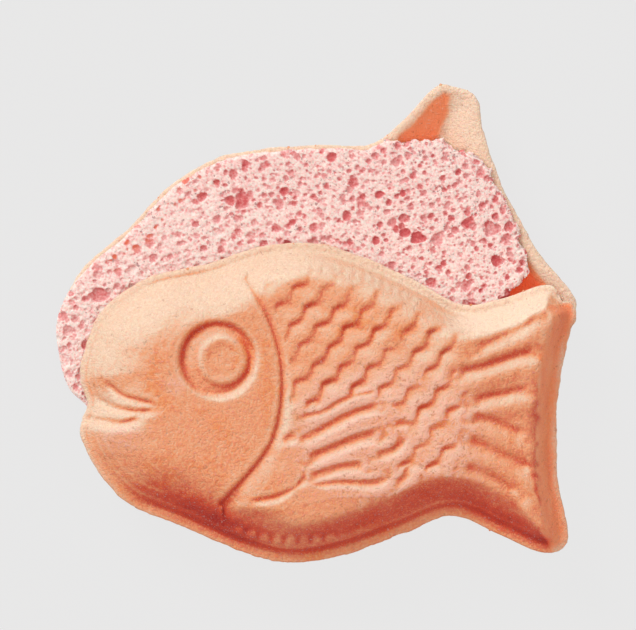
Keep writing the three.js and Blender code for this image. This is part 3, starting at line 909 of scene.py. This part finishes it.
def outer_bake(plan, inset, low, normals):
    """The relief face takes painted light and shade by how it looks at the main light, and is
    darker in low places and paler on proud ones, partly painted shade and light and partly baking,
    less on the scales and the side fin. The flange is pale with painted light on the side towards
    the light, darker with painted shade on the other and paler along its outer edge. The base of
    the slope is dark with painted shade below, on the chin and towards the tail, and a line on the
    flange, on the head's side towards the light, is darker. The snout is pale, and the band behind
    the gill line and the back's slope are pale with painted light. The tail's end is even, in
    place of the painted light and shade, with a painted highlight along the crown's edge."""
    # Painted light and shade: paler where the face looks at the main light more than a flat one
    # does, darker where it looks at it less
    facing = facing_of(normals)
    bake = -np.where(facing > 0, facing / PALE_FACING, facing / DARK_FACING)
    x, y = plan.T
    sideways = LIGHT_FROM[:2] / np.linalg.norm(LIGHT_FROM[:2])
    radius = np.maximum(np.linalg.norm(plan, axis=1), 1e-6)
    towards = np.maximum(plan @ sideways / radius, 0.7 * ease(y, 2, 10) * ease(x, 0, 12))
    # Low places are darker and proud ones paler: painted shade and light as well as baking, less
    # dark on the side towards the light
    most = mix(0.45, 0.0, ease(towards, -0.1, 0.4) * fade(inset, 4, 7))
    scales = scales_share(x, y, inset, abs(behind_gill(x, y)))
    groove_bake_and_shade = np.clip(3.5 * low, -0.35, most) * (1 - 0.25 * scales) * ease(inset, 2.4, 3.4)
    bake = bake + groove_bake_and_shade + 0.04 * ease(x, 32, 42)
    fin = hump(x, 6, 18) * hump(y, -9, 12)
    bake = np.where(bake > 0, bake * (1 - 0.35 * fin), bake) + 0.12 * fin
    # Painted light on the flange on the side towards the light and painted shade on the other;
    # paler along its outer edge
    flange = np.where(towards > 0, -0.9 * towards, -0.3 * towards) * fade(inset, 1.6, 2.6)
    flange = flange - 0.5 * fade(inset, 0.3, 1.0)
    # Painted shade along the base of the slope on the lower side and the chin, and towards the
    # tail
    foot_shade = hump(inset, 4.5, 3.0) * ease(-y / radius, 0.3, 0.75) * fade(x, -24, -8)
    foot_shade = foot_shade + 0.7 * hump(inset, 3.2, 2.4) * ease(x, 22, 36) * ease(-y, 14, 22)
    snout = hump(x, -50, 5) * hump(y, -0.5, 4)
    rim_line = hump(inset, 1.5, 0.35) * ease(towards, 0.2, 0.6) * fade(x, -30, -10)
    # Painted light on the band behind the gill line, whose rise looks towards the light
    strip = hump(behind_gill(x, y), 1.5, 0.9) * np.exp(-(((y + 2) / 4.5) ** 4))
    bake = bake + flange + 1.08 * foot_shade - 0.5 * snout + 0.7 * rim_line - 0.9 * strip
    bake = bake + 0.15 * scales * fade(x, 2, 22)
    # Painted light: paler still on the back's slope, the side that looks towards the light
    bake = bake - 0.35 * ease(y, 6, 12) * ease(x, -12, 20) * fade(inset, 5, 7)
    bake = np.maximum(bake, -1.2 - 0.45 * ease(y, 6, 12) * ease(x, 5, 25))
    # The tail's end: an even tint in place of the painted light and shade, a painted highlight
    # along the crown's edge, a pale flange and streaks
    end = 0.12 + 0.3 * ease(y, 6, 18) - 0.5 * hump(inset, 4.9, 0.6)
    end = end - 0.7 * fade(inset, 0.4, 2.2) + 0.4 * value_noise(plan * (2.5, 0.5), 2.2, 91)
    return mix(bake, end, 0.85 * tail_end(plan, inset))


def inner_bake(plan, inset):
    """The hollow is pale by the rim and, in the tail, beyond the valley that starts at the tail's
    upper corner, where it looks towards the light: painted light. It reddens with painted shade
    deep inside its lower part and along the valley."""
    x, y = plan.T
    # Painted light beyond the valley, where the hollow looks towards the light; painted shade deep
    # inside and along the valley
    beyond = 0.72 * (x - 52.0) - 0.69 * (y - 24.0) + 0.5 * value_noise(plan, 2.0, 92)
    deep = mix(0.35, -1.5, ease(beyond, -2.2, 1.4)) + 2.6 * ease(inset, 2.2, 4.8) * ease(-y, 5, 12)
    deep = deep + 0.4 * hump(beyond, -2.4, 1.4) * ease(inset, 2.0, 4.0)
    return mix(-1.4, deep, ease(inset + 0.5 * value_noise(plan, 1.3, 93), 0.9, 2.9))


def bake_of(plan, inset, low, normals, on_top):
    """How the wafer is tinted by its baking and by painted light and shade: 0 on the flat, more
    where it is burnt or in painted shade, less where it is cream or in painted light."""
    bake = np.where(on_top, outer_bake(plan, inset, low, normals), inner_bake(plan, inset))
    return np.clip(bake, BAKE_AND_SHADING_LEAST, BAKE_AND_SHADING_MOST)


def low_places(height, faces, on_top):
    """How far each place lies below the mean of those round it, seen from its own side."""
    return (neighbour_mean(height, faces, 6) - height) * np.where(on_top, 1, -1)


def bloom_of(plan, low, bake, on_top):
    """Pale speckle left by the iron, on the proud places of its spots and off the gill line. It
    keeps off places in painted shade, so it is partly painted sheen.
    """
    share = np.zeros(len(plan))
    for x, y, wide, high, strength in BLOOM_AND_SHEEN_SPOTS:
        reach = np.hypot((plan[:, 0] - x) / wide, (plan[:, 1] - y) / high)
        share = np.maximum(share, strength * fade(reach, 0.55, 1.1))
    share = share * ease(abs(behind_gill(*plan.T)), 0.5, 3.0)
    return share * np.clip(0.5 - 6 * low, 0, 1) * fade(bake, 0.1, 0.5) * on_top


def hand_over(piece, node):
    """The piece stands for its CAD node, if it has one, and rides on the food's one body."""
    if node:
        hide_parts(node)
    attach(piece, "root")


def add_shell(name, half, size, pitch, hollow_pitch, chipped, finish):
    """One wafer shell, whose vertices carry how it is baked with painted light and shade, its pale
    speckle with painted sheen, and where it glows with painted light.
    """
    plan, height, faces, on_top = shell_skin(size, pitch, hollow_pitch)
    vertices = half.carry(plan + flange_wobble(plan, chipped), height)
    if half.flipped:
        faces = faces[:, ::-1]
    low, inset = low_places(height, faces, on_top), shell_inset(plan)
    # How it is baked, with painted light and shade by how each place looks at the main light
    bake = bake_of(plan, inset, low, vertex_normals(vertices, faces), on_top)
    bloom = bloom_of(plan, low, bake, on_top)
    # Painted light: the hollow glows, and so does the relief face at the tail's end
    glow = np.where(on_top, 0.6 * tail_end(plan, inset), ease(inset, 0.9, 2.4))
    piece = add_mesh(name, vertices, faces, finish, bake=bake, bloom=bloom, glow=glow)
    hand_over(piece, name)


# ---------------------------------------------------------------- filling

def bubble_pits(xy):
    """How the burst bubbles shape the cut face: how far it sinks, how deep it looks, and the
    colour tone of the deepest bubble at each place. A bubble of radius R cut at height h above
    its centre leaves a bowl of depth sqrt(R^2 - d^2) - h; R waves with the angle, by cosines of
    2, 3 and 5 turns. The face sinks by 0.75 (1 - exp(-depth / 0.8)), so that the widest bubbles
    keep a floor, and looks 1 - exp(-depth / 0.35) deep. Bubbles stand one to a cell of a
    jittered grid."""
    depth, tone = np.zeros((2, len(xy)))
    places = xy + 0.12 * np.stack([value_noise(xy, 1.3, 51), value_noise(xy, 1.3, 52)], 1)
    for cell, least, greatest, share, redness, uneven, seed in BUBBLE_CLASSES:
        home = np.floor(places / cell)
        for offset in itertools.product((-1, 0, 1), repeat=2):
            at = home + offset
            right, up, wide, cut, kept, tint, phase = (
                cell_random(at, seed + number) for number in range(7))
            jitter = np.stack([right, up], 1) - 0.5
            dx, dy = (places - (at + 0.5 + 0.8 * jitter) * cell).T
            turn, phase = np.arctan2(dy, dx), 2 * math.pi * phase
            wave = 0.15 * np.cos(2 * turn + phase) + 0.10 * np.cos(3 * turn + 2 * phase)
            wave += 0.06 * np.cos(5 * turn + 3 * phase)
            radius = mix(least, greatest, wide**1.5) * (1 + uneven * wave)
            bowl = np.sqrt(np.maximum(radius**2 - dx**2 - dy**2, 0))
            bowl -= mix(0.05, 0.75, cut) * radius
            held = kept < share * mix(1.4, 1.0, ease(at[:, 0] * cell, -35, -10))
            deeper = held & (bowl > depth)
            depth = np.where(deeper, bowl, depth)
            tone = np.where(deeper, tint + redness, tone)
    return 0.75 * (1 - np.exp(-depth / 0.8)), 1 - np.exp(-depth / 0.35), tone


def add_back_filling(half, front, shell, size, finish):
    """The filling in the back shell. Its cut face is fine where it shows and coarse where the
    front half covers it; the rest follows the hollow and keeps a gap to it."""
    sections, gap = Sections(size.foam_pitch), size.touch_gap
    start = shell.flange_width + HOLLOW_STEP + gap
    inset_of = lambda xy: filling_inset(xy, size.filling_border)
    edge = sections.shares_at([0.0], inset_of)
    top = mix(edge, 1.0, inward_steps(sections.length.max(), size.foam_pitch)[::-1])
    under = sections.shares_at([start + 0.4, start + 0.8], shell_inset)
    under = np.maximum(under, edge + [[0.01], [0.02]])
    deep = mix(under[-1], 1.0, DEEP_STEPS[:, None])
    shares = np.vstack([top, edge, edge, edge, under, np.maximum(deep, edge)])
    middle = len(top) + 1       # the ring halfway down the filling's edge
    covered = covered_by(front, half, sections.places(shares).reshape(-1, 2))
    coarseness = np.where(covered.reshape(shares.shape), GROUP, SPREAD) * size.foam_pitch
    coarseness[middle + 1:] = HIDDEN_PITCH
    blocks = coarseness.reshape(len(shares), sections.count // GROUP, GROUP).min(2)
    plan, ring, faces = closed_rings(sections, shares, blocks)

    on_top = ring <= middle
    face = plan[on_top]
    sink, pits, tones = bubble_pits(face)
    tones = tones + mix(-0.4, 0.2, ease(face[:, 0], -38, 12))
    inset = np.maximum(inset_of(face), 0)
    swell = 0.25 * value_noise(face, 11.0, 63) * ease(inset, 1, 6)
    crumble = layered_noise(face, (0.10, 0.9, 61), (0.08, 0.45, 62))
    worn = 0.7 * (1 - np.clip(inset / 1.1, 0, 1)) ** 2
    level = size.filling_rise + swell + crumble - worn - sink
    rusty = ease(face[:, 0], -37, -33) * fade(face[:, 0], -20, 2) * ease(tones, 0.1, 0.3)
    pit, tone, rim = np.zeros((3, len(plan)))
    pit[on_top], tone[on_top], rim[on_top] = pits, tones, fade(inset, 2.5, 6) * rusty
    height = np.where(shell_inset(plan) < start, gap, gap - hollow_height(plan, shell, 0))
    floor = height[ring == middle]
    height[on_top] = np.clip(level, gap + CUT_FACE_FLOOR, CUT_FACE_LID)
    height[ring == middle] = mix(height[ring == middle], floor, 0.5)
    vertices = half.carry(plan, -height)
    # Painted shade in the bowls: how far the cut face looks away from the main light
    shade = np.clip(-facing_of(vertex_normals(vertices, faces)), -0.6, 0.8) * on_top
    tints = {"pit": pit, "tone": tone, "rim": rim, "shade": shade}
    piece = add_mesh("back_filling", vertices, faces, finish, **tints)
    hand_over(piece, "back_filling")


def covered_by(front, half, xy):
    """Whether places of the back half lie under the front half, 2.5 mm or more inside its
    edge."""
    placed = half.carry(xy, np.zeros(len(xy)))[:, :2] - front.shift
    inside = points_inside(OUTLINE, placed)
    return inside & (distance_to(OUTLINE[::4], placed) > 2.5)


def points_inside(path, xy):
    """Even-odd rule: a place is inside when a line to the right crosses the path an odd number
    of times."""
    odd = np.zeros(len(xy), bool)
    x, y = xy.T
    for (ax, ay), (bx, by) in zip(path[:-1], path[1:]):
        if ay != by:
            crosses = (ay > y) != (by > y)
            odd ^= crosses & (x < (bx - ax) * (y - ay) / (by - ay) + ax)
    return odd


def add_front_filling(half, shell, size, finish):
    """The filling in the front shell: it follows the hollow with a gap and its cut face is level
    with the rim plane, with the same bubbles."""
    pitch, gap = 3 * size.foam_pitch, size.touch_gap
    sections = Sections(pitch)
    start = shell.flange_width + HOLLOW_STEP + gap + 0.5
    base = sections.shares_at([start, start + 0.3], shell_inset)
    upper = np.vstack([mix(base[-1], 1.0, DEEP_STEPS[::-1, None]), base[::-1]])
    lower = mix(base[0], 1.0, inward_steps(sections.length.max(), pitch))
    shares = np.vstack([upper, base[:1], lower])
    plan, ring, faces = closed_rings(sections, shares, np.full((len(shares), 1), SPREAD * pitch))
    cut = ring >= len(upper)
    elsewhere = plan[cut] + 40.0        # so that its bubbles aren't those of the back filling
    sink, pits, tones = bubble_pits(elsewhere)
    height = hollow_height(plan, shell, 0) - gap
    height[cut] = sink * ease(shell_inset(plan[cut]), start, start + 1.5) - gap
    pit, tone = np.zeros((2, len(plan)))
    pit[cut], tone[cut] = pits, tones
    piece = add_mesh("front_filling", half.carry(plan, height), faces, finish, pit=pit, tone=tone)
    hand_over(piece, "front_filling")


# ---------------------------------------------------------------- crumbs

def lumps(centres, radii, seed):
    """Small closed lumps: a ball of 42 vertices round each centre, each vertex moved in or out
    by up to three tenths."""
    ball = bmesh.new()
    bmesh.ops.create_icosphere(ball, subdivisions=2, radius=1.0)
    points = np.array([vertex.co for vertex in ball.verts])
    corners = np.array([[vertex.index for vertex in face.verts] for face in ball.faces])
    ball.free()
    uneven = 1 + np.random.default_rng(seed).uniform(-0.3, 0.3, (len(centres), len(points), 1))
    vertices = centres[:, None] + radii[:, None, None] * points * uneven
    faces = corners + len(points) * np.arange(len(centres))[:, None, None]
    return vertices.reshape(-1, 3), faces.reshape(-1, 3)


def add_crumbs(name, half, line, height, kind, seed, finish):
    """Crumbs that cling along a line of the fish's plan, at a height over its rim plane. Their
    kind is how many there are, and their least and greatest radius."""
    count, least, greatest = kind
    random = np.random.default_rng(seed)
    along = line[random.integers(0, len(line) - 1, count)]
    inwards = -along / np.linalg.norm(along, axis=1)[:, None]
    radii = mix(least, greatest, random.random(count) ** 2.5)
    along = along + inwards * (0.6 * radii + random.uniform(0, 0.2, count))[:, None]
    centres = half.carry(along, height + random.uniform(-0.1, 0.1, count))
    hand_over(add_mesh(name, *lumps(centres, radii, seed + 1), finish), None)


# ---------------------------------------------------------------- properties

def length(name, description, default):
    """A length property; the default is in millimetres."""
    return bpy.props.FloatProperty(
        name=name, description=description, default=default * MM, unit="LENGTH",
        subtype="DISTANCE")


def colour(name, description, default):
    """A colour property; the default is in sRGB bytes and is kept as linear light."""
    value = np.array(default) / 255
    linear = np.where(value <= 0.04045, value / 12.92, ((value + 0.055) / 1.055) ** 2.4)
    return bpy.props.FloatVectorProperty(
        name=name, description=description, default=(*linear, 1.0), size=4, subtype="COLOR",
        min=0, max=1)


class ShellProperties(bpy.types.PropertyGroup):
    shell_depth: length("Shell depth", "Rim plane to the flat of the body", 9.6)
    tail_depth: length("Tail depth", "Rim plane to the flat of the tail", 7.6)
    flange_width: length("Flange width", "Width of the flat rim", 2.0)
    flange_thickness: length("Flange thickness", "Thickness of the flat rim", 1.0)
    wall_thickness: length("Wall thickness", "Thickness of the wafer", 2.0)
    eye_depth: length("Eye depth", "Depth of the eye's socket", 1.3)
    scale_depth: length("Scale depth", "Depth of the grooves round the scales", 0.55)
    row_pitch: length("Row pitch", "Distance between rows of scales", 4.87)
    scale_pitch: length("Scale pitch", "Distance between scales in a row", 5.45)
    row_shift: length("Row shift", "How far each row is set along from the last", 3.9)
    scale_bulge: length("Scale bulge", "How far a scale's edge bulges", 1.1)


class FillingProperties(bpy.types.PropertyGroup):
    filling_rise: length("Rise", "Filling above the back shell's rim plane", 1.6)
    filling_border: length("Border", "Filling's edge inside the shell's edge", 0.9)
    touch_gap: length("Gap", "Room between the filling and the wafer", 0.35)
    foam_pitch: length("Foam detail", "Distance between vertices on the cut face", 0.24)


class ColourProperties(bpy.types.PropertyGroup):
    wafer: colour("Wafer", "The wafer's flat faces", (241, 168, 122))
    wafer_amber: colour("Amber wafer", "Tint of the warmer blotches", (255, 236, 196))
    # Cream and pale also stand for painted light, where the wafer looks at the main light; baked
    # and burnt also for painted shade, where it looks away, in grooves and low places
    wafer_cream_and_light: colour("Cream wafer", "Where the wafer caught the least heat", (250, 227, 202))
    wafer_pale_and_light: colour("Pale wafer", "Where the wafer caught little heat", (236, 208, 181))
    wafer_baked: colour("Baked wafer", "Where it baked long", (220, 84, 56))
    wafer_burnt_and_shade: colour("Burnt wafer", "Where it baked longest", (180, 42, 32))
    # Painted light: a brighter colour inside the shells and at the tail's end, and light that the
    # wafer gives off by itself
    wafer_painted_glow: colour("Glowing wafer", "Inside the shells", (252, 150, 102))
    wafer_painted_emission: colour("Lit wafer", "Light that comes through the wall deep inside", (255, 96, 48))
    # Partly painted sheen: the speckle keeps off places in painted shade
    wafer_bloom: colour("Wafer bloom", "Pale bloom on the proud places", (246, 206, 190))
    wafer_pore: colour("Wafer pores", "Small dark pores", (176, 84, 44))
    foam_pale: colour("Foam crests", "Crests of the walls between bubbles", (252, 235, 227))
    foam_wall: colour("Foam walls", "Walls between bubbles", (249, 218, 212))
    # Bowl colours are partly painted shade: they deepen with a bowl's depth and where it looks
    # away from the light
    foam_bowl_shaded: colour("Foam bowls", "Inside burst bubbles", (235, 173, 171))
    foam_coral_shaded: colour("Coral bowls", "The deeper bubbles", (216, 110, 110))
    foam_rust: colour("Rust bowls", "Bubbles by the rim that show the wafer", (234, 126, 96))
    foam_red_shaded: colour("Red bowls", "The deepest bubbles", (198, 64, 74))
    foam_speck: colour("Foam specks", "Tiny holes between bubbles", (158, 90, 96))
    floor: colour("Floor", "The studio's floor", (232, 232, 232))


class PlaceProperties(bpy.types.PropertyGroup):
    opening: bpy.props.FloatProperty(
        name="Opening", description="Turn of the back shell about the mouth",
        default=math.radians(28.3), subtype="ANGLE", unit="ROTATION")
    shell_pitch: length("Shell detail", "Distance between vertices on the relief", 0.36)
    hollow_pitch: length("Hollow detail", "Distance between vertices in the hollow", 1.4)


class Sizes:
    """The lengths of a group of the scene's properties, in millimetres."""

    def __init__(self, group):
        for name in group.__annotations__:
            setattr(self, name, getattr(group, name) / MM)


# ---------------------------------------------------------------- operators

class TAIYAKI_OT_shells(bpy.types.Operator):
    """Model the two wafer shells"""

    bl_idname = "taiyaki.shells"
    bl_label = "Wafer Shells"

    def execute(self, context):
        scene = context.scene
        size = Sizes(scene.taiyaki_shell)
        front, back = placed_halves(scene.taiyaki_place.opening)
        finish = finish_named("wafer_crust", scene.taiyaki_colours)
        fine = scene.taiyaki_place.shell_pitch / MM
        coarse = scene.taiyaki_place.hollow_pitch / MM
        add_shell("front_shell", front, size, fine, coarse, FRONT_CHIPS, finish)
        add_shell("back_shell", back, size, 1.5 * fine, 1.5 * fine, (), finish)
        return {"FINISHED"}


class TAIYAKI_OT_fillings(bpy.types.Operator):
    """Model the aerated filling of both halves"""

    bl_idname = "taiyaki.fillings"
    bl_label = "Aerated Fillings"

    def execute(self, context):
        scene = context.scene
        shell, size = Sizes(scene.taiyaki_shell), Sizes(scene.taiyaki_filling)
        front, back = placed_halves(scene.taiyaki_place.opening)
        finish = finish_named("filling_foam", scene.taiyaki_colours)
        add_back_filling(back, front, shell, size, finish)
        add_front_filling(front, shell, size, finish)
        return {"FINISHED"}


class TAIYAKI_OT_crumbs(bpy.types.Operator):
    """Scatter the crumbs that cling to the rims and to the broken filling"""

    bl_idname = "taiyaki.crumbs"
    bl_label = "Crumbs"

    def execute(self, context):
        scene = context.scene
        front, back = placed_halves(scene.taiyaki_place.opening)
        size = Sizes(scene.taiyaki_filling)
        crust = finish_named("wafer_crust", scene.taiyaki_colours)
        foam = finish_named("filling_foam", scene.taiyaki_colours)
        edge = OUTLINE + flange_wobble(OUTLINE, ())
        sections = Sections(pitch=0.5)
        inset_of = lambda xy: filling_inset(xy, size.filling_border)
        broken = sections.places(sections.shares_at([0.0], inset_of))[0]
        low = 0.4 - size.filling_rise
        add_crumbs("front_rim_crumbs", front, edge, 0.5, RIM_CRUMBS, 501, crust)
        add_crumbs("back_rim_crumbs", back, edge, 0.4, RIM_CRUMBS, 511, crust)
        add_crumbs("filling_crumbs", back, broken, low, FOAM_CRUMBS, 521, foam)
        return {"FINISHED"}


class TAIYAKI_OT_stage(bpy.types.Operator):
    """Set the floor, the lights and the camera"""

    bl_idname = "taiyaki.stage"
    bl_label = "Studio"

    def execute(self, context):
        scene = context.scene
        pale = tuple(scene.taiyaki_colours.floor)
        floor = self.add_floor(pale)
        light = bpy.data.lights.new("key_light", "SUN")
        light.energy, light.angle = LIGHT_STRENGTH, LIGHT_SPREAD
        lamp = bpy.data.objects.new("key_light", light)
        lamp.rotation_euler = Vector(LIGHT_FROM).to_track_quat("Z", "Y").to_euler()
        scene.world = bpy.data.worlds.new("studio")
        self.add_sky(scene.world, pale)
        camera = bpy.data.cameras.new("camera")
        camera.sensor_width = SENSOR_WIDTH
        camera.lens = SENSOR_WIDTH * CAMERA_DISTANCE / VIEW_WIDTH
        camera.clip_end = 8 * CAMERA_DISTANCE
        viewer = bpy.data.objects.new("camera", camera)
        viewer.location = (*VIEW_CENTRE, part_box("front_shell")[0].z + CAMERA_DISTANCE)
        for thing in (lamp, viewer):
            scene.collection.objects.link(thing)
        scene.camera = viewer
        scene.view_settings.view_transform = "Standard"
        return {"FINISHED"}

    def add_floor(self, pale):
        """A wide floor that glows by itself, so that it is even, and takes soft shadows."""
        square = np.array([(-1, -1, 0), (1, -1, 0), (1, 1, 0), (-1, 1, 0)]) * FLOOR_HALF
        material = bpy.data.materials.new("studio_floor")
        skin = Finish(material)
        glow = skin.node("ShaderNodeEmission", inputs={"Color": pale, "Strength": FLOOR_GLOW})
        matt = skin.node("ShaderNodeBsdfDiffuse", inputs={"Color": FLOOR_MATT})
        both = skin.node("ShaderNodeMixShader", inputs={0: FLOOR_GLOW_SHARE, 1: matt, 2: glow})
        skin.node("ShaderNodeOutputMaterial", inputs={"Surface": both})
        return add_mesh("floor", square, np.array([(0, 1, 2), (0, 2, 3)]), material)

    def add_sky(self, world, pale):
        """Soft light from all round, strongest overhead. Seen straight on, it is as pale as the
        floor."""
        sky = Finish(world)
        ways = sky.node("ShaderNodeTexCoord", output="Generated")
        up = sky.node("ShaderNodeSeparateXYZ", inputs={0: ways}, output="Z")
        range_of = {"Value": up, "To Min": SKY_LEVEL, "To Max": SKY_OVERHEAD}
        strength = sky.node("ShaderNodeMapRange", inputs=range_of)
        tints = {"Color": SKY_COLOUR, "Strength": strength}
        light = sky.node("ShaderNodeBackground", inputs=tints)
        plain = sky.node("ShaderNodeBackground", inputs={"Color": pale})
        seen = sky.node("ShaderNodeLightPath", output="Is Camera Ray")
        both = sky.node("ShaderNodeMixShader", inputs={0: seen, 1: light, 2: plain})
        sky.node("ShaderNodeOutputWorld", inputs={"Surface": both})


class TAIYAKI_PT_panel(bpy.types.Panel):
    bl_idname = "TAIYAKI_PT_panel"
    bl_label = "Taiyaki"
    bl_space_type = "VIEW_3D"
    bl_region_type = "UI"
    bl_category = "Taiyaki"

    def draw(self, context):
        scene = context.scene
        for name, cls in GROUPS.items():
            column = self.layout.column()
            for key in cls.__annotations__:
                column.prop(getattr(scene, name), key)
        for operator in OPERATORS:
            self.layout.operator(operator.bl_idname)


OPERATORS = (TAIYAKI_OT_shells, TAIYAKI_OT_fillings, TAIYAKI_OT_crumbs, TAIYAKI_OT_stage)
GROUPS = {
    "taiyaki_shell": ShellProperties,
    "taiyaki_filling": FillingProperties,
    "taiyaki_place": PlaceProperties,
    "taiyaki_colours": ColourProperties,
}


def register():
    for cls in (*GROUPS.values(), *OPERATORS, TAIYAKI_PT_panel):
        bpy.utils.register_class(cls)
    for name, cls in GROUPS.items():
        setattr(bpy.types.Scene, name, bpy.props.PointerProperty(type=cls))


def unregister():
    for name in GROUPS:
        delattr(bpy.types.Scene, name)
    for cls in (TAIYAKI_PT_panel, *reversed(OPERATORS), *reversed(GROUPS.values())):
        bpy.utils.unregister_class(cls)


def main():
    register()
    bpy.ops.taiyaki.shells()
    bpy.ops.taiyaki.fillings()
    bpy.ops.taiyaki.crumbs()
    bpy.ops.taiyaki.stage()


if __name__ == "__main__":
    main()
